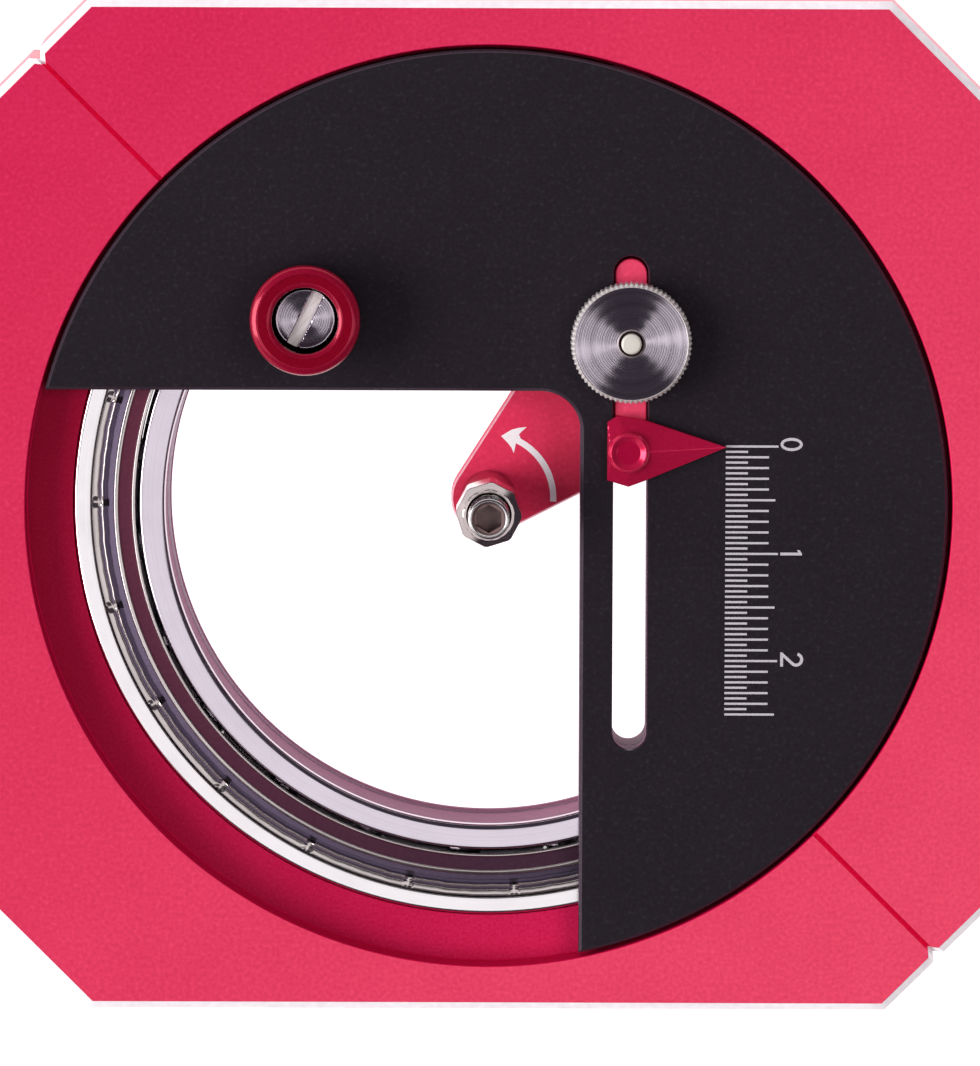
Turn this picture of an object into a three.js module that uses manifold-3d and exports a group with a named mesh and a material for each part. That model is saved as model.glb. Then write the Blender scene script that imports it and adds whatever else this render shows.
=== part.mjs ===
// Circle cutter: a square frame lies on the sheet, and a disc turns in it on a thin ball bearing.
// A blade arm slides along a slot in the disc, so the scale beside the slot reads the radius of the cut.
// Millimetres, +Z up. The origin is on the turning axis, in the plane of the frame's underside.

import * as THREE from 'three';
import { mergeVertices } from 'three/addons/utils/BufferGeometryUtils.js';
import Module from 'manifold-3d';

const wasm = await Module();
wasm.setup();

// Bearing
const BEARING_BORE = 60;
const BEARING_OUTSIDE = 77;
const BEARING_WIDTH = 7;
const BALL_DIAMETER = 4;
const BALL_COUNT = 23;
const BALL_GAP = 0.12;
const RACE_CHAMFER = 0.25;
const OUTER_RACE_FACE = 1.6;
const OUTER_SHOULDER_STEP = 1.3;
const INNER_RACE_WALL = 2.7;
const CAGE_THICKNESS = 1.6;
const CAGE_END_WALL = 0.35;
const POCKET_GAP = 0.15;
const SHIELD_SHEET = 0.3;
const SHIELD_RIM_RECESS = 0.5;
const SHIELD_INNER_RECESS = 0.15;
const SHIELD_STEP_FROM_EDGE = 2.3;
const SHIELD_STEP_RUN = 0.35;
const SHIELD_EDGE_GAP = 0.15;
const SHIELD_BORE_GAP = 0.25;

// Frame
const LIP_THICKNESS = 1.6;
const LIP_WIDTH = 2.1;
const SEAT_GAP = 0.1;
const LEDGE_BELOW_BEARING = 0.3;
const FRAME_RIM = 4.1;
const CORNER_CUT = 10;
const FRAME_TOP_CHAMFER = 0.7;
const FRAME_FOOT_CHAMFER = 0.3;
const OPENING_EDGE_BREAK = 0.2;
const GROOVE_WIDTH = 0.6;
const GROOVE_DEPTH = 0.5;
const NOTCH_WIDTH = 1.4;
const NOTCH_DEPTH = 0.8;
const GROOVE_DEGREES = [135, -45];

// Disc
const DISC_OVERHANG = 4;
const DISC_EDGE_GAP = 0.4;
const DISC_FLANGE = 2.8;
const DISC_SHOULDER = 0.2;
const SHOULDER_GAP = 0.3;
const SHOULDER_WIDTH = 2;
const DISC_CHAMFER = 0.3;
const HUB_GAP = 0.1;
const HUB_SHORTFALL = 0.1;
const WINDOW_RIGHT = 8.47;
const WINDOW_TOP = 10.85;
const WINDOW_FILLET = 3.7;
const CHANNEL_GAP = 0.6;

// Slide
const SLOT_X = 13.08;
const SLOT_WIDTH = 3.15;
const SLOT_END_GAP = 0.25;
const KEY_SIDE_GAP = 0.1;
const KEY_LENGTH = 20.4;
const KEY_LOW_Y = 2.75;
const KEY_BELOW_FACE = 0.4;
const RADIUS_TRAVEL = 25;

// Arm
const ARM_FLOOR_GAP = 0.7;
const ARM_THICKNESS = 3.2;
const ARM_TOP_GAP = 0.3;
const ARM_CHAMFER = 0.25;
const ARM_TIP_RADIUS = 3.5;
const ARM_CORNER_RADIUS = 1.5;
const ARM_BLOCK_LEFT = 3;
const ARM_BLOCK_RIGHT = 3.7;
const ARM_BLOCK_OVER = 0.25;
const ARM_BLOCK_LOW_Y = 4.1;
const POST_RADIUS = 2.6;
const POST_HEIGHT = 9.2;

// Blade and its holder
const BLADE_SCREW_RADIUS = 1.95;
const BLADE_SCREW_LENGTH = 11.8;
const BLADE_SCREW_CHAMFER = 0.3;
const BLADE_SCREW_GAP = 0.15;
const BLADE_SCREW_PROUD = 3.2;
const SOCKET_FLATS = 2.4;
const SOCKET_DEPTH = 4;
const LOCK_NUT_FLATS = 5.7;
const LOCK_NUT_HEIGHT = 4.6;
const LOCK_NUT_CHAMFER = 0.3;
const LOCK_NUT_GAP = 0.3;
const LOCK_NUT_DEGREES = -5;
const POST_FLOOR = 1.3;
const CARRIER_LENGTH = 3.4;
const CARRIER_GAP = 0.3;
const CARRIER_CHAMFER = 0.2;
const BLADE_RADIUS = 0.95;
const BLADE_GAP = 0.15;
const BLADE_SEAT_DEPTH = 2.6;
const BLADE_TIP_HEIGHT = 0.4;
const BLADE_EDGE_HEIGHT = 2.4;
const BLADE_BEVEL_HEIGHT = 3;
const BLADE_EDGE_THICKNESS = 0.1;
const SPRING_WIRE = 0.3;
const SPRING_TURNS = 4;
const SPRING_GAP = 0.3;

// Thumb nut, washer and stud
const STUD_Y = 15.6;
const STUD_RADIUS = 1;
const STUD_GAP = 0.15;
const STUD_DEPTH = 6;
const STUD_PROUD = 0.6;
const STUD_CHAMFER = 0.25;
const WASHER_RADIUS = 4;
const WASHER_THICKNESS = 0.5;
const WASHER_GAP = 0.1;
const THUMB_NUT_RADIUS = 5.6;
const THUMB_NUT_HEIGHT = 2.5;
const THUMB_NUT_GAP = 0.05;
const THUMB_NUT_CHAMFER = 0.3;
const THUMB_NUT_COUNTERSINK = 0.15;
const KNURL_DEPTH = 0.16;
const KNURL_COUNT = 72;

// Pointer, its ring and pin
const POINTER_GAP = 0.2;
const POINTER_EDGE = 0.7;
const POINTER_HEIGHT = 1.8;
const POINTER_X = 12.9;
const POINTER_Y = 5.34;
const POINTER_TIP_X = 21.95;
const POINTER_TIP_Y = 5.8;
const POINTER_LEFT = 1.98;
const POINTER_RIGHT = 1.6;
const POINTER_TOP = 3.4;
const POINTER_FOOT = 3.25;
const POINTER_LEFT_TOP = 2.75;
const POINTER_SIDE_TOP = 2.95;
const POINTER_SIDE_LOW = 2.65;
const RING_RADIUS = 1.95;
const RING_WALL = 0.45;
const RING_DEPTH = 0.4;
const RING_CHAMFER = 0.15;
const TENON_WIDTH = 2.4;
const TENON_LENGTH = 3.4;
const TENON_GAP = 0.15;
const PIN_RADIUS = 0.6;
const PIN_HEAD_THICKNESS = 0.2;
const PIN_GAP = 0.1;
const PIN_DEPTH = 3;

// Handle
const HANDLE_X = -16.95;
const HANDLE_Y = 17.9;
const HANDLE_RADIUS = 5.1;
const HANDLE_HEIGHT = 6;
const HANDLE_RIM = 3.2;
const HANDLE_WAIST_RADIUS = 4;
const HANDLE_FOOT_RADIUS = 4.5;
const HANDLE_FOOT = 0.6;
const HANDLE_SLOPE = 0.5;
const HANDLE_CHAMFER = 0.7;
const HANDLE_GAP = 0.2;
const HANDLE_RECESS_RADIUS = 3.25;
const HANDLE_RECESS_CHAMFER = 0.25;
const HANDLE_FLOOR = 2.3;
const HANDLE_SCREW_HEAD_RADIUS = 2.72;
const HANDLE_SCREW_HEAD = 1.4;
const HANDLE_SCREW_HEAD_CHAMFER = 0.15;
const HANDLE_SCREW_HEAD_GAP = 0.25;
const HANDLE_SHOULDER_RADIUS = 1.7;
const HANDLE_SHOULDER_GAP = 0.15;
const HANDLE_THREAD_RADIUS = 1.2;
const HANDLE_THREAD_GAP = 0.15;
const HANDLE_THREAD_LENGTH = 6;
const DRIVER_SLOT_WIDTH = 1.1;
const DRIVER_SLOT_DEPTH = 0.7;
const DRIVER_SLOT_DEGREES = 64;

// Retaining ring and its screws
const RETAINER_INSIDE_BORE = 0.35;
const RETAINER_WIDTH = 2.5;
const RETAINER_THICKNESS = 0.9;
const RETAINER_GAP = 0.1;
const LUG_WIDTH = 4.6;
const LUG_REACH = 5.15;
const LUG_SCREW_INSET = 2.6;
const LUG_DEGREES = [12, -30, 108, 146];
const RETAINER_SCREW_RADIUS = 0.75;
const RETAINER_SCREW_HEAD_RADIUS = 1.6;
const RETAINER_SCREW_CONE = 0.8;
const RETAINER_SCREW_LENGTH = 5;
const RETAINER_SCREW_GAP = 0.1;
const RETAINER_SOCKET_FLATS = 1.2;
const RETAINER_SOCKET_DEPTH = 0.5;

// How finely rounds are divided, and how far a cut runs past what it cuts
const BIG_ROUND = 72;
const RACE_ROUND = 60;
const SMALL_ROUND = 28;
const TINY_ROUND = 12;
const FILLET_STEPS = 6;
const GROOVE_STEPS = 4;
const BALL_ROUND = 10;
const BALL_RINGS = 6;
const COIL_STEPS = 12;
const COIL_SIDES = 6;
const OVERRUN = 1;
const WELD = 1e-5;

// Levels and radii that follow from the sizes above
const boreRadius = BEARING_BORE / 2;
const bearingRadius = BEARING_OUTSIDE / 2;
const pitchRadius = (boreRadius + bearingRadius) / 2;
const ballRadius = BALL_DIAMETER / 2;
const bearingLow = LIP_THICKNESS + SEAT_GAP;
const bearingHigh = bearingLow + BEARING_WIDTH;
const bearingMiddle = (bearingLow + bearingHigh) / 2;
const shoulderLow = bearingHigh + SHOULDER_GAP;
const flangeLow = shoulderLow + DISC_SHOULDER;
const faceTop = flangeLow + DISC_FLANGE;
const discRadius = bearingRadius + DISC_OVERHANG;
const openingRadius = discRadius + DISC_EDGE_GAP;
const frameHalf = openingRadius + FRAME_RIM;
const hubRadius = boreRadius - HUB_GAP;
const hubLow = bearingLow + HUB_SHORTFALL;
const armHigh = ARM_FLOOR_GAP + ARM_THICKNESS;
const channelHigh = armHigh + ARM_TOP_GAP;
const keyHigh = faceTop - KEY_BELOW_FACE;
const keyHalfWidth = SLOT_WIDTH / 2 - KEY_SIDE_GAP;
const keyHighY = KEY_LOW_Y + KEY_LENGTH;
const postHigh = armHigh + POST_HEIGHT;
const lockNutLow = postHigh + LOCK_NUT_GAP;
const lockNutHigh = lockNutLow + LOCK_NUT_HEIGHT;
const bladeScrewHigh = lockNutHigh + BLADE_SCREW_PROUD;
const bladeScrewLow = bladeScrewHigh - BLADE_SCREW_LENGTH;
const postBoreRadius = BLADE_SCREW_RADIUS + BLADE_SCREW_GAP;
const postFloorHigh = ARM_FLOOR_GAP + POST_FLOOR;
const carrierHigh = bladeScrewLow - CARRIER_GAP;
const carrierLow = carrierHigh - CARRIER_LENGTH;
const bladeHoleRadius = BLADE_RADIUS + BLADE_GAP;
const bladeHigh = carrierLow + BLADE_SEAT_DEPTH;
const retainerHigh = bearingLow - RETAINER_GAP;
const retainerLow = retainerHigh - RETAINER_THICKNESS;
const retainerInnerRadius = boreRadius - RETAINER_INSIDE_BORE;
const lugInnerRadius = retainerInnerRadius - LUG_REACH;
const lugScrewRadius = lugInnerRadius + LUG_SCREW_INSET;

// Changes between meshes and solids

function toSolid(geometry) {
  const bare = geometry.clone();
  bare.deleteAttribute('normal');
  bare.deleteAttribute('uv');
  const merged = mergeVertices(bare, WELD);
  const places = merged.attributes.position.array;
  const corners = merged.index.array;
  const kept = [];
  let volume = 0;
  const a = new THREE.Vector3();
  const b = new THREE.Vector3();
  const c = new THREE.Vector3();
  for (let i = 0; i < corners.length; i += 3) {
    const [p, q, r] = [corners[i], corners[i + 1], corners[i + 2]];
    if (p === q || q === r || r === p) continue;
    kept.push(p, q, r);
    a.fromArray(places, 3 * p);
    b.fromArray(places, 3 * q);
    c.fromArray(places, 3 * r);
    volume += a.dot(b.cross(c));
  }
  if (volume < 0) kept.reverse();
  return new wasm.Manifold(new wasm.Mesh({
    numProp: 3,
    vertProperties: Float32Array.from(places),
    triVerts: Uint32Array.from(kept),
  }));
}

function toGeometry(solid) {
  const mesh = solid.getMesh();
  const geometry = new THREE.BufferGeometry();
  geometry.setAttribute('position', new THREE.BufferAttribute(mesh.vertProperties, 3));
  geometry.setIndex(new THREE.BufferAttribute(mesh.triVerts, 1));
  geometry.computeVertexNormals();
  return geometry;
}

// Shapes

function radians(degrees) {
  return THREE.MathUtils.degToRad(degrees);
}

function polar(radius, angle, x = 0, y = 0) {
  return new THREE.Vector2(x + radius * Math.cos(angle), y + radius * Math.sin(angle));
}

function arc(x, y, radius, from, to, steps) {
  const points = [];
  for (let i = 0; i <= steps; i += 1) points.push(polar(radius, from + ((to - from) * i) / steps, x, y));
  return points;
}

// A turned solid: the profile's points are radius and height, about an upright axis through x, y.
function turned(profile, round, x = 0, y = 0) {
  const points = profile.map(([radius, height]) => new THREE.Vector2(radius, height));
  const closes = points[0].x > 0 || points[points.length - 1].x > 0;
  if (closes) points.push(points[0].clone());
  const geometry = new THREE.LatheGeometry(points, round);
  geometry.rotateX(Math.PI / 2);
  geometry.translate(x, y, 0);
  return toSolid(geometry);
}

function disc(radius, low, high, round, x = 0, y = 0) {
  return turned([[0, low], [radius, low], [radius, high], [0, high]], round, x, y);
}

// A solid through outlines stacked at rising heights, each with as many points as the others.
function stacked(levels) {
  const count = levels[0].outline.length;
  const places = [];
  for (const level of levels) {
    for (const point of level.outline) places.push(point.x, point.y, level.z);
  }
  const corners = [];
  for (let k = 0; k + 1 < levels.length; k += 1) {
    for (let i = 0; i < count; i += 1) {
      const a = k * count + i;
      const b = k * count + ((i + 1) % count);
      corners.push(a, b, b + count, a, b + count, a + count);
    }
  }
  const top = (levels.length - 1) * count;
  for (const [a, b, c] of THREE.ShapeUtils.triangulateShape(levels[0].outline, [])) corners.push(c, b, a);
  const cap = THREE.ShapeUtils.triangulateShape(levels[levels.length - 1].outline, []);
  for (const [a, b, c] of cap) corners.push(top + a, top + b, top + c);
  const geometry = new THREE.BufferGeometry();
  geometry.setAttribute('position', new THREE.Float32BufferAttribute(places, 3));
  geometry.setIndex(corners);
  return toSolid(geometry);
}

function prism(outline, low, high) {
  return stacked([{ z: low, outline }, { z: high, outline }]);
}

// A prism whose top edge is chamfered: outlineAt gives the outline drawn in by a distance.
function chamferedPrism(outlineAt, low, high, topChamfer, footChamfer = 0) {
  const levels = [];
  if (footChamfer > 0) levels.push({ z: low, outline: outlineAt(footChamfer) });
  levels.push({ z: low + footChamfer, outline: outlineAt(0) });
  levels.push({ z: high - topChamfer, outline: outlineAt(0) });
  levels.push({ z: high, outline: outlineAt(topChamfer) });
  return stacked(levels);
}

function rectangle(x0, y0, x1, y1) {
  return [[x0, y0], [x1, y0], [x1, y1], [x0, y1]].map(([x, y]) => new THREE.Vector2(x, y));
}

function turnedOutline(outline, degrees, x = 0, y = 0) {
  const centre = new THREE.Vector2(x, y);
  return outline.map((point) => point.clone().add(centre).rotateAround(centre, radians(degrees)));
}

// A regular outline with the given distance across its flats, a corner on its own +X.
function flatted(sides, flats) {
  const corner = flats / 2 / Math.cos(Math.PI / sides);
  const points = [];
  for (let i = 0; i < sides; i += 1) points.push(polar(corner, (i * 2 * Math.PI) / sides));
  return points;
}

function stadium(x, lowY, highY, halfWidth) {
  return [
    ...arc(x, highY - halfWidth, halfWidth, 0, Math.PI, FILLET_STEPS),
    ...arc(x, lowY + halfWidth, halfWidth, Math.PI, 2 * Math.PI, FILLET_STEPS),
  ];
}

// A band pulled tight round circles that are listed anticlockwise, grown by a distance.
function wrapped(circles, grow) {
  const count = circles.length;
  const outward = circles.map((from, i) => {
    const to = circles[(i + 1) % count];
    const run = Math.hypot(to.x - from.x, to.y - from.y);
    return Math.atan2(to.y - from.y, to.x - from.x) - Math.acos((from.r - to.r) / run);
  });
  return circles.flatMap((circle, i) => {
    const start = outward[(i + count - 1) % count];
    const sweep = THREE.MathUtils.euclideanModulo(outward[i] - start, 2 * Math.PI);
    return arc(circle.x, circle.y, circle.r + grow, start, start + sweep, FILLET_STEPS);
  });
}

// Frame

function frameOutline(inset) {
  const half = frameHalf - inset;
  const cut = (2 * frameHalf - CORNER_CUT) / Math.SQRT2 - inset;
  const short = cut * Math.SQRT2 - half;
  return [
    [half, short], [short, half], [-short, half], [-half, short],
    [-half, -short], [-short, -half], [short, -half], [half, -short],
  ].map(([x, y]) => new THREE.Vector2(x, y));
}

function makeFrame() {
  const ledge = bearingHigh - LEDGE_BELOW_BEARING;
  const seat = bearingRadius + SEAT_GAP;
  const lip = bearingRadius - LIP_WIDTH;
  let frame = chamferedPrism(frameOutline, 0, faceTop, FRAME_TOP_CHAMFER, FRAME_FOOT_CHAMFER);
  frame = frame.subtract(turned([
    [0, -OVERRUN], [lip, -OVERRUN], [lip, LIP_THICKNESS], [seat, LIP_THICKNESS], [seat, ledge],
    [openingRadius, ledge], [openingRadius, faceTop - OPENING_EDGE_BREAK],
    [openingRadius + OPENING_EDGE_BREAK, faceTop], [openingRadius + OPENING_EDGE_BREAK, faceTop + OVERRUN],
    [0, faceTop + OVERRUN],
  ], BIG_ROUND));
  const cornerWall = (2 * frameHalf - CORNER_CUT) / Math.SQRT2;
  const groove = rectangle(openingRadius - OVERRUN, -GROOVE_WIDTH / 2, cornerWall + OVERRUN, GROOVE_WIDTH / 2);
  const slope = NOTCH_WIDTH / 2 / NOTCH_DEPTH;
  const notch = [
    new THREE.Vector2(cornerWall - NOTCH_DEPTH, 0),
    new THREE.Vector2(cornerWall + OVERRUN, -slope * (NOTCH_DEPTH + OVERRUN)),
    new THREE.Vector2(cornerWall + OVERRUN, slope * (NOTCH_DEPTH + OVERRUN)),
  ];
  for (const degrees of GROOVE_DEGREES) {
    frame = frame.subtract(prism(turnedOutline(groove, degrees), faceTop - GROOVE_DEPTH, faceTop + OVERRUN));
    frame = frame.subtract(prism(turnedOutline(notch, degrees), -OVERRUN, faceTop + OVERRUN));
  }
  return frame;
}

// Bearing

// The groove that the balls run in, seen in section: side is +1 in the inner race and -1 in the outer.
function grooveSection(shoulderRadius, side) {
  const radius = ballRadius + BALL_GAP;
  const reach = (pitchRadius - shoulderRadius) * side;
  const half = Math.acos(reach / radius);
  const middle = side > 0 ? Math.PI : 0;
  const points = arc(pitchRadius, bearingMiddle, radius, middle + side * half, middle - side * half, GROOVE_STEPS);
  return points.map((point) => [point.x, point.y]);
}

function makeOuterRace() {
  const face = bearingRadius - OUTER_RACE_FACE;
  const shoulder = face - OUTER_SHOULDER_STEP;
  const step = SHIELD_RIM_RECESS + SHIELD_SHEET + SHIELD_EDGE_GAP;
  return turned([
    [bearingRadius - RACE_CHAMFER, bearingLow], [bearingRadius, bearingLow + RACE_CHAMFER],
    [bearingRadius, bearingHigh - RACE_CHAMFER], [bearingRadius - RACE_CHAMFER, bearingHigh],
    [face, bearingHigh], [face, bearingHigh - step], [shoulder, bearingHigh - step],
    ...grooveSection(shoulder, -1).reverse(),
    [shoulder, bearingLow + step], [face, bearingLow + step], [face, bearingLow],
  ], RACE_ROUND);
}

function makeInnerRace() {
  const shoulder = boreRadius + INNER_RACE_WALL;
  return turned([
    [boreRadius, bearingLow + RACE_CHAMFER], [boreRadius + RACE_CHAMFER, bearingLow],
    [shoulder - RACE_CHAMFER, bearingLow], [shoulder, bearingLow + RACE_CHAMFER],
    ...grooveSection(shoulder, 1),
    [shoulder, bearingHigh - RACE_CHAMFER], [shoulder - RACE_CHAMFER, bearingHigh],
    [boreRadius + RACE_CHAMFER, bearingHigh], [boreRadius, bearingHigh - RACE_CHAMFER],
  ], RACE_ROUND);
}

function ballPlaces() {
  const places = [];
  for (let i = 0; i < BALL_COUNT; i += 1) places.push(polar(pitchRadius, (i * 2 * Math.PI) / BALL_COUNT));
  return places;
}

function makeBall(place) {
  const geometry = new THREE.SphereGeometry(ballRadius, BALL_ROUND, BALL_RINGS);
  geometry.rotateX(Math.PI / 2);
  geometry.translate(place.x, place.y, bearingMiddle);
  return toSolid(geometry);
}

// A hole drilled from the axis outwards, which one ball sits in.
function pocketShape(radius, place) {
  const geometry = new THREE.CylinderGeometry(radius, radius, 2 * ballRadius, BALL_ROUND);
  geometry.rotateZ(Math.atan2(place.y, place.x) - Math.PI / 2);
  geometry.translate(place.x, place.y, bearingMiddle);
  return toSolid(geometry);
}

function makeCage() {
  const pocket = ballRadius + POCKET_GAP;
  const inner = pitchRadius - CAGE_THICKNESS / 2;
  const outer = pitchRadius + CAGE_THICKNESS / 2;
  const low = bearingMiddle - pocket - CAGE_END_WALL;
  const high = bearingMiddle + pocket + CAGE_END_WALL;
  let cage = turned([[inner, low], [outer, low], [outer, high], [inner, high]], RACE_ROUND);
  for (const place of ballPlaces()) cage = cage.subtract(pocketShape(pocket, place));
  return cage;
}

// A pressed shield: a rim held in the outer race, and an inner part raised by a step. up is +1 or -1.
function makeShield(face, up) {
  const edge = bearingRadius - OUTER_RACE_FACE - SHIELD_EDGE_GAP;
  const bore = boreRadius + INNER_RACE_WALL + SHIELD_BORE_GAP;
  const stepOuter = edge - SHIELD_STEP_FROM_EDGE + SHIELD_STEP_RUN;
  const stepInner = edge - SHIELD_STEP_FROM_EDGE;
  const rim = face - up * SHIELD_RIM_RECESS;
  const raised = face - up * SHIELD_INNER_RECESS;
  const sheet = up * SHIELD_SHEET;
  return turned([
    [bore, raised - sheet], [stepInner, raised - sheet], [stepOuter, rim - sheet], [edge, rim - sheet],
    [edge, rim], [stepOuter, rim], [stepInner, raised], [bore, raised],
  ], RACE_ROUND);
}

// Disc

function discOutline(inset) {
  const radius = discRadius - inset;
  const right = WINDOW_RIGHT + inset;
  const top = WINDOW_TOP + inset;
  return [
    ...arc(0, 0, radius, -Math.acos(right / radius), Math.PI - Math.asin(top / radius), BIG_ROUND),
    ...arc(
      WINDOW_RIGHT - WINDOW_FILLET, WINDOW_TOP - WINDOW_FILLET, WINDOW_FILLET + inset,
      Math.PI / 2, 0, FILLET_STEPS,
    ),
  ];
}

function slotOutline(inset) {
  const low = KEY_LOW_Y - RADIUS_TRAVEL - SLOT_END_GAP;
  const high = keyHighY + SLOT_END_GAP;
  return stadium(SLOT_X, low - inset, high + inset, SLOT_WIDTH / 2 + inset);
}

function windowOutline() {
  const past = discRadius + OVERRUN;
  return [
    new THREE.Vector2(WINDOW_RIGHT, -past),
    ...arc(
      WINDOW_RIGHT - WINDOW_FILLET, WINDOW_TOP - WINDOW_FILLET, WINDOW_FILLET, 0, Math.PI / 2, FILLET_STEPS,
    ),
    new THREE.Vector2(-past, WINDOW_TOP), new THREE.Vector2(-past, -past),
  ];
}

function makeDisc() {
  const past = discRadius + OVERRUN;
  const shoulder = boreRadius + SHOULDER_WIDTH;
  let hub = turned([
    [0, hubLow], [hubRadius, hubLow], [hubRadius, shoulderLow], [shoulder, shoulderLow],
    [shoulder, flangeLow + OVERRUN], [0, flangeLow + OVERRUN],
  ], BIG_ROUND);
  hub = hub.subtract(prism(windowOutline(), hubLow - OVERRUN, faceTop));
  const channelLeft = -ARM_TIP_RADIUS - CHANNEL_GAP;
  const channelRight = SLOT_X + ARM_BLOCK_RIGHT + CHANNEL_GAP;
  hub = hub.subtract(prism(rectangle(channelLeft, -past, channelRight, past), hubLow - OVERRUN, channelHigh));
  let plate = chamferedPrism(discOutline, flangeLow, faceTop, DISC_CHAMFER).add(hub);
  plate = plate.subtract(stacked([
    { z: hubLow - OVERRUN, outline: slotOutline(0) },
    { z: faceTop - DISC_CHAMFER, outline: slotOutline(0) },
    { z: faceTop, outline: slotOutline(DISC_CHAMFER) },
    { z: faceTop + OVERRUN, outline: slotOutline(DISC_CHAMFER) },
  ]));
  const threadHole = HANDLE_THREAD_RADIUS + HANDLE_THREAD_GAP;
  const threadEnd = faceTop - HANDLE_THREAD_LENGTH - HANDLE_SCREW_HEAD_GAP;
  plate = plate.subtract(disc(threadHole, threadEnd, faceTop + OVERRUN, SMALL_ROUND, HANDLE_X, HANDLE_Y));
  const screwEnd = retainerLow + RETAINER_SCREW_LENGTH + RETAINER_SCREW_GAP;
  for (const degrees of LUG_DEGREES) {
    const place = polar(lugScrewRadius, radians(degrees));
    const hole = RETAINER_SCREW_RADIUS + RETAINER_SCREW_GAP;
    plate = plate.subtract(disc(hole, hubLow - OVERRUN, screwEnd, TINY_ROUND, place.x, place.y));
  }
  return plate;
}

// Slide: arm, key and post in one piece

function armOutline(inset) {
  const corner = ARM_CORNER_RADIUS;
  const left = SLOT_X - ARM_BLOCK_LEFT + corner;
  const right = SLOT_X + ARM_BLOCK_RIGHT - corner;
  const high = keyHighY + ARM_BLOCK_OVER - corner;
  return wrapped([
    { x: 0, y: 0, r: ARM_TIP_RADIUS },
    { x: right, y: ARM_BLOCK_LOW_Y + corner, r: corner },
    { x: right, y: high, r: corner },
    { x: left, y: high, r: corner },
  ], -inset);
}

function makeArm() {
  let arm = chamferedPrism(armOutline, ARM_FLOOR_GAP, armHigh, ARM_CHAMFER);
  arm = arm.add(prism(stadium(SLOT_X, KEY_LOW_Y, keyHighY, keyHalfWidth), armHigh - OVERRUN, keyHigh));
  arm = arm.add(disc(POST_RADIUS, armHigh - OVERRUN, postHigh, SMALL_ROUND));
  arm = arm.subtract(disc(postBoreRadius, postFloorHigh, postHigh + OVERRUN, SMALL_ROUND));
  arm = arm.subtract(disc(bladeHoleRadius, -OVERRUN, postFloorHigh + OVERRUN, SMALL_ROUND));
  const studHole = STUD_RADIUS + STUD_GAP;
  const studEnd = keyHigh - STUD_DEPTH - STUD_GAP;
  arm = arm.subtract(disc(studHole, studEnd, keyHigh + OVERRUN, SMALL_ROUND, SLOT_X, STUD_Y));
  const pinEnd = keyHigh - PIN_DEPTH - PIN_GAP;
  return arm.subtract(disc(PIN_RADIUS + PIN_GAP, pinEnd, keyHigh + OVERRUN, TINY_ROUND, POINTER_X, POINTER_Y));
}

// Blade and its holder, upright on the turning axis

function makeBladeScrew() {
  const edge = BLADE_SCREW_CHAMFER;
  const body = turned([
    [0, bladeScrewLow], [BLADE_SCREW_RADIUS - edge, bladeScrewLow], [BLADE_SCREW_RADIUS, bladeScrewLow + edge],
    [BLADE_SCREW_RADIUS, bladeScrewHigh - edge], [BLADE_SCREW_RADIUS - edge, bladeScrewHigh], [0, bladeScrewHigh],
  ], SMALL_ROUND);
  const socket = turnedOutline(flatted(6, SOCKET_FLATS), 30);
  return body.subtract(prism(socket, bladeScrewHigh - SOCKET_DEPTH, bladeScrewHigh + OVERRUN));
}

function makeLockNut() {
  const outlineAt = (inset) => turnedOutline(flatted(8, LOCK_NUT_FLATS - 2 * inset), LOCK_NUT_DEGREES);
  const nut = chamferedPrism(outlineAt, lockNutLow, lockNutHigh, LOCK_NUT_CHAMFER, LOCK_NUT_CHAMFER);
  return nut.subtract(disc(postBoreRadius, lockNutLow - OVERRUN, lockNutHigh + OVERRUN, SMALL_ROUND));
}

function makeCarrier() {
  const radius = BLADE_SCREW_RADIUS;
  const body = turned([
    [0, carrierLow], [radius - CARRIER_CHAMFER, carrierLow], [radius, carrierLow + CARRIER_CHAMFER],
    [radius, carrierHigh - CARRIER_CHAMFER], [radius - CARRIER_CHAMFER, carrierHigh], [0, carrierHigh],
  ], SMALL_ROUND);
  return body.subtract(disc(bladeHoleRadius, carrierLow - OVERRUN, bladeHigh + BLADE_GAP, SMALL_ROUND));
}

// A round shank ground to a slanted edge with a bevel on both sides.
function makeBlade() {
  const shank = disc(BLADE_RADIUS, BLADE_TIP_HEIGHT, bladeHigh, SMALL_ROUND);
  const out = BLADE_RADIUS + OVERRUN;
  const edgeHigh = BLADE_TIP_HEIGHT + BLADE_EDGE_HEIGHT;
  const side = [
    new THREE.Vector2(-BLADE_RADIUS, BLADE_TIP_HEIGHT), new THREE.Vector2(BLADE_RADIUS, edgeHigh),
    new THREE.Vector2(out, edgeHigh), new THREE.Vector2(out, bladeHigh + OVERRUN),
    new THREE.Vector2(-out, bladeHigh + OVERRUN), new THREE.Vector2(-out, BLADE_TIP_HEIGHT),
  ];
  const bevelHigh = BLADE_TIP_HEIGHT + BLADE_BEVEL_HEIGHT;
  const front = [
    new THREE.Vector2(-BLADE_EDGE_THICKNESS / 2, BLADE_TIP_HEIGHT - OVERRUN),
    new THREE.Vector2(BLADE_EDGE_THICKNESS / 2, BLADE_TIP_HEIGHT - OVERRUN),
    new THREE.Vector2(BLADE_EDGE_THICKNESS / 2, BLADE_TIP_HEIGHT), new THREE.Vector2(out, bevelHigh),
    new THREE.Vector2(out, bladeHigh + OVERRUN), new THREE.Vector2(-out, bladeHigh + OVERRUN),
    new THREE.Vector2(-out, bevelHigh), new THREE.Vector2(-BLADE_EDGE_THICKNESS / 2, BLADE_TIP_HEIGHT),
  ];
  return shank.intersect(upright(side, out, 0)).intersect(upright(front, out, Math.PI / 2));
}

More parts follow.
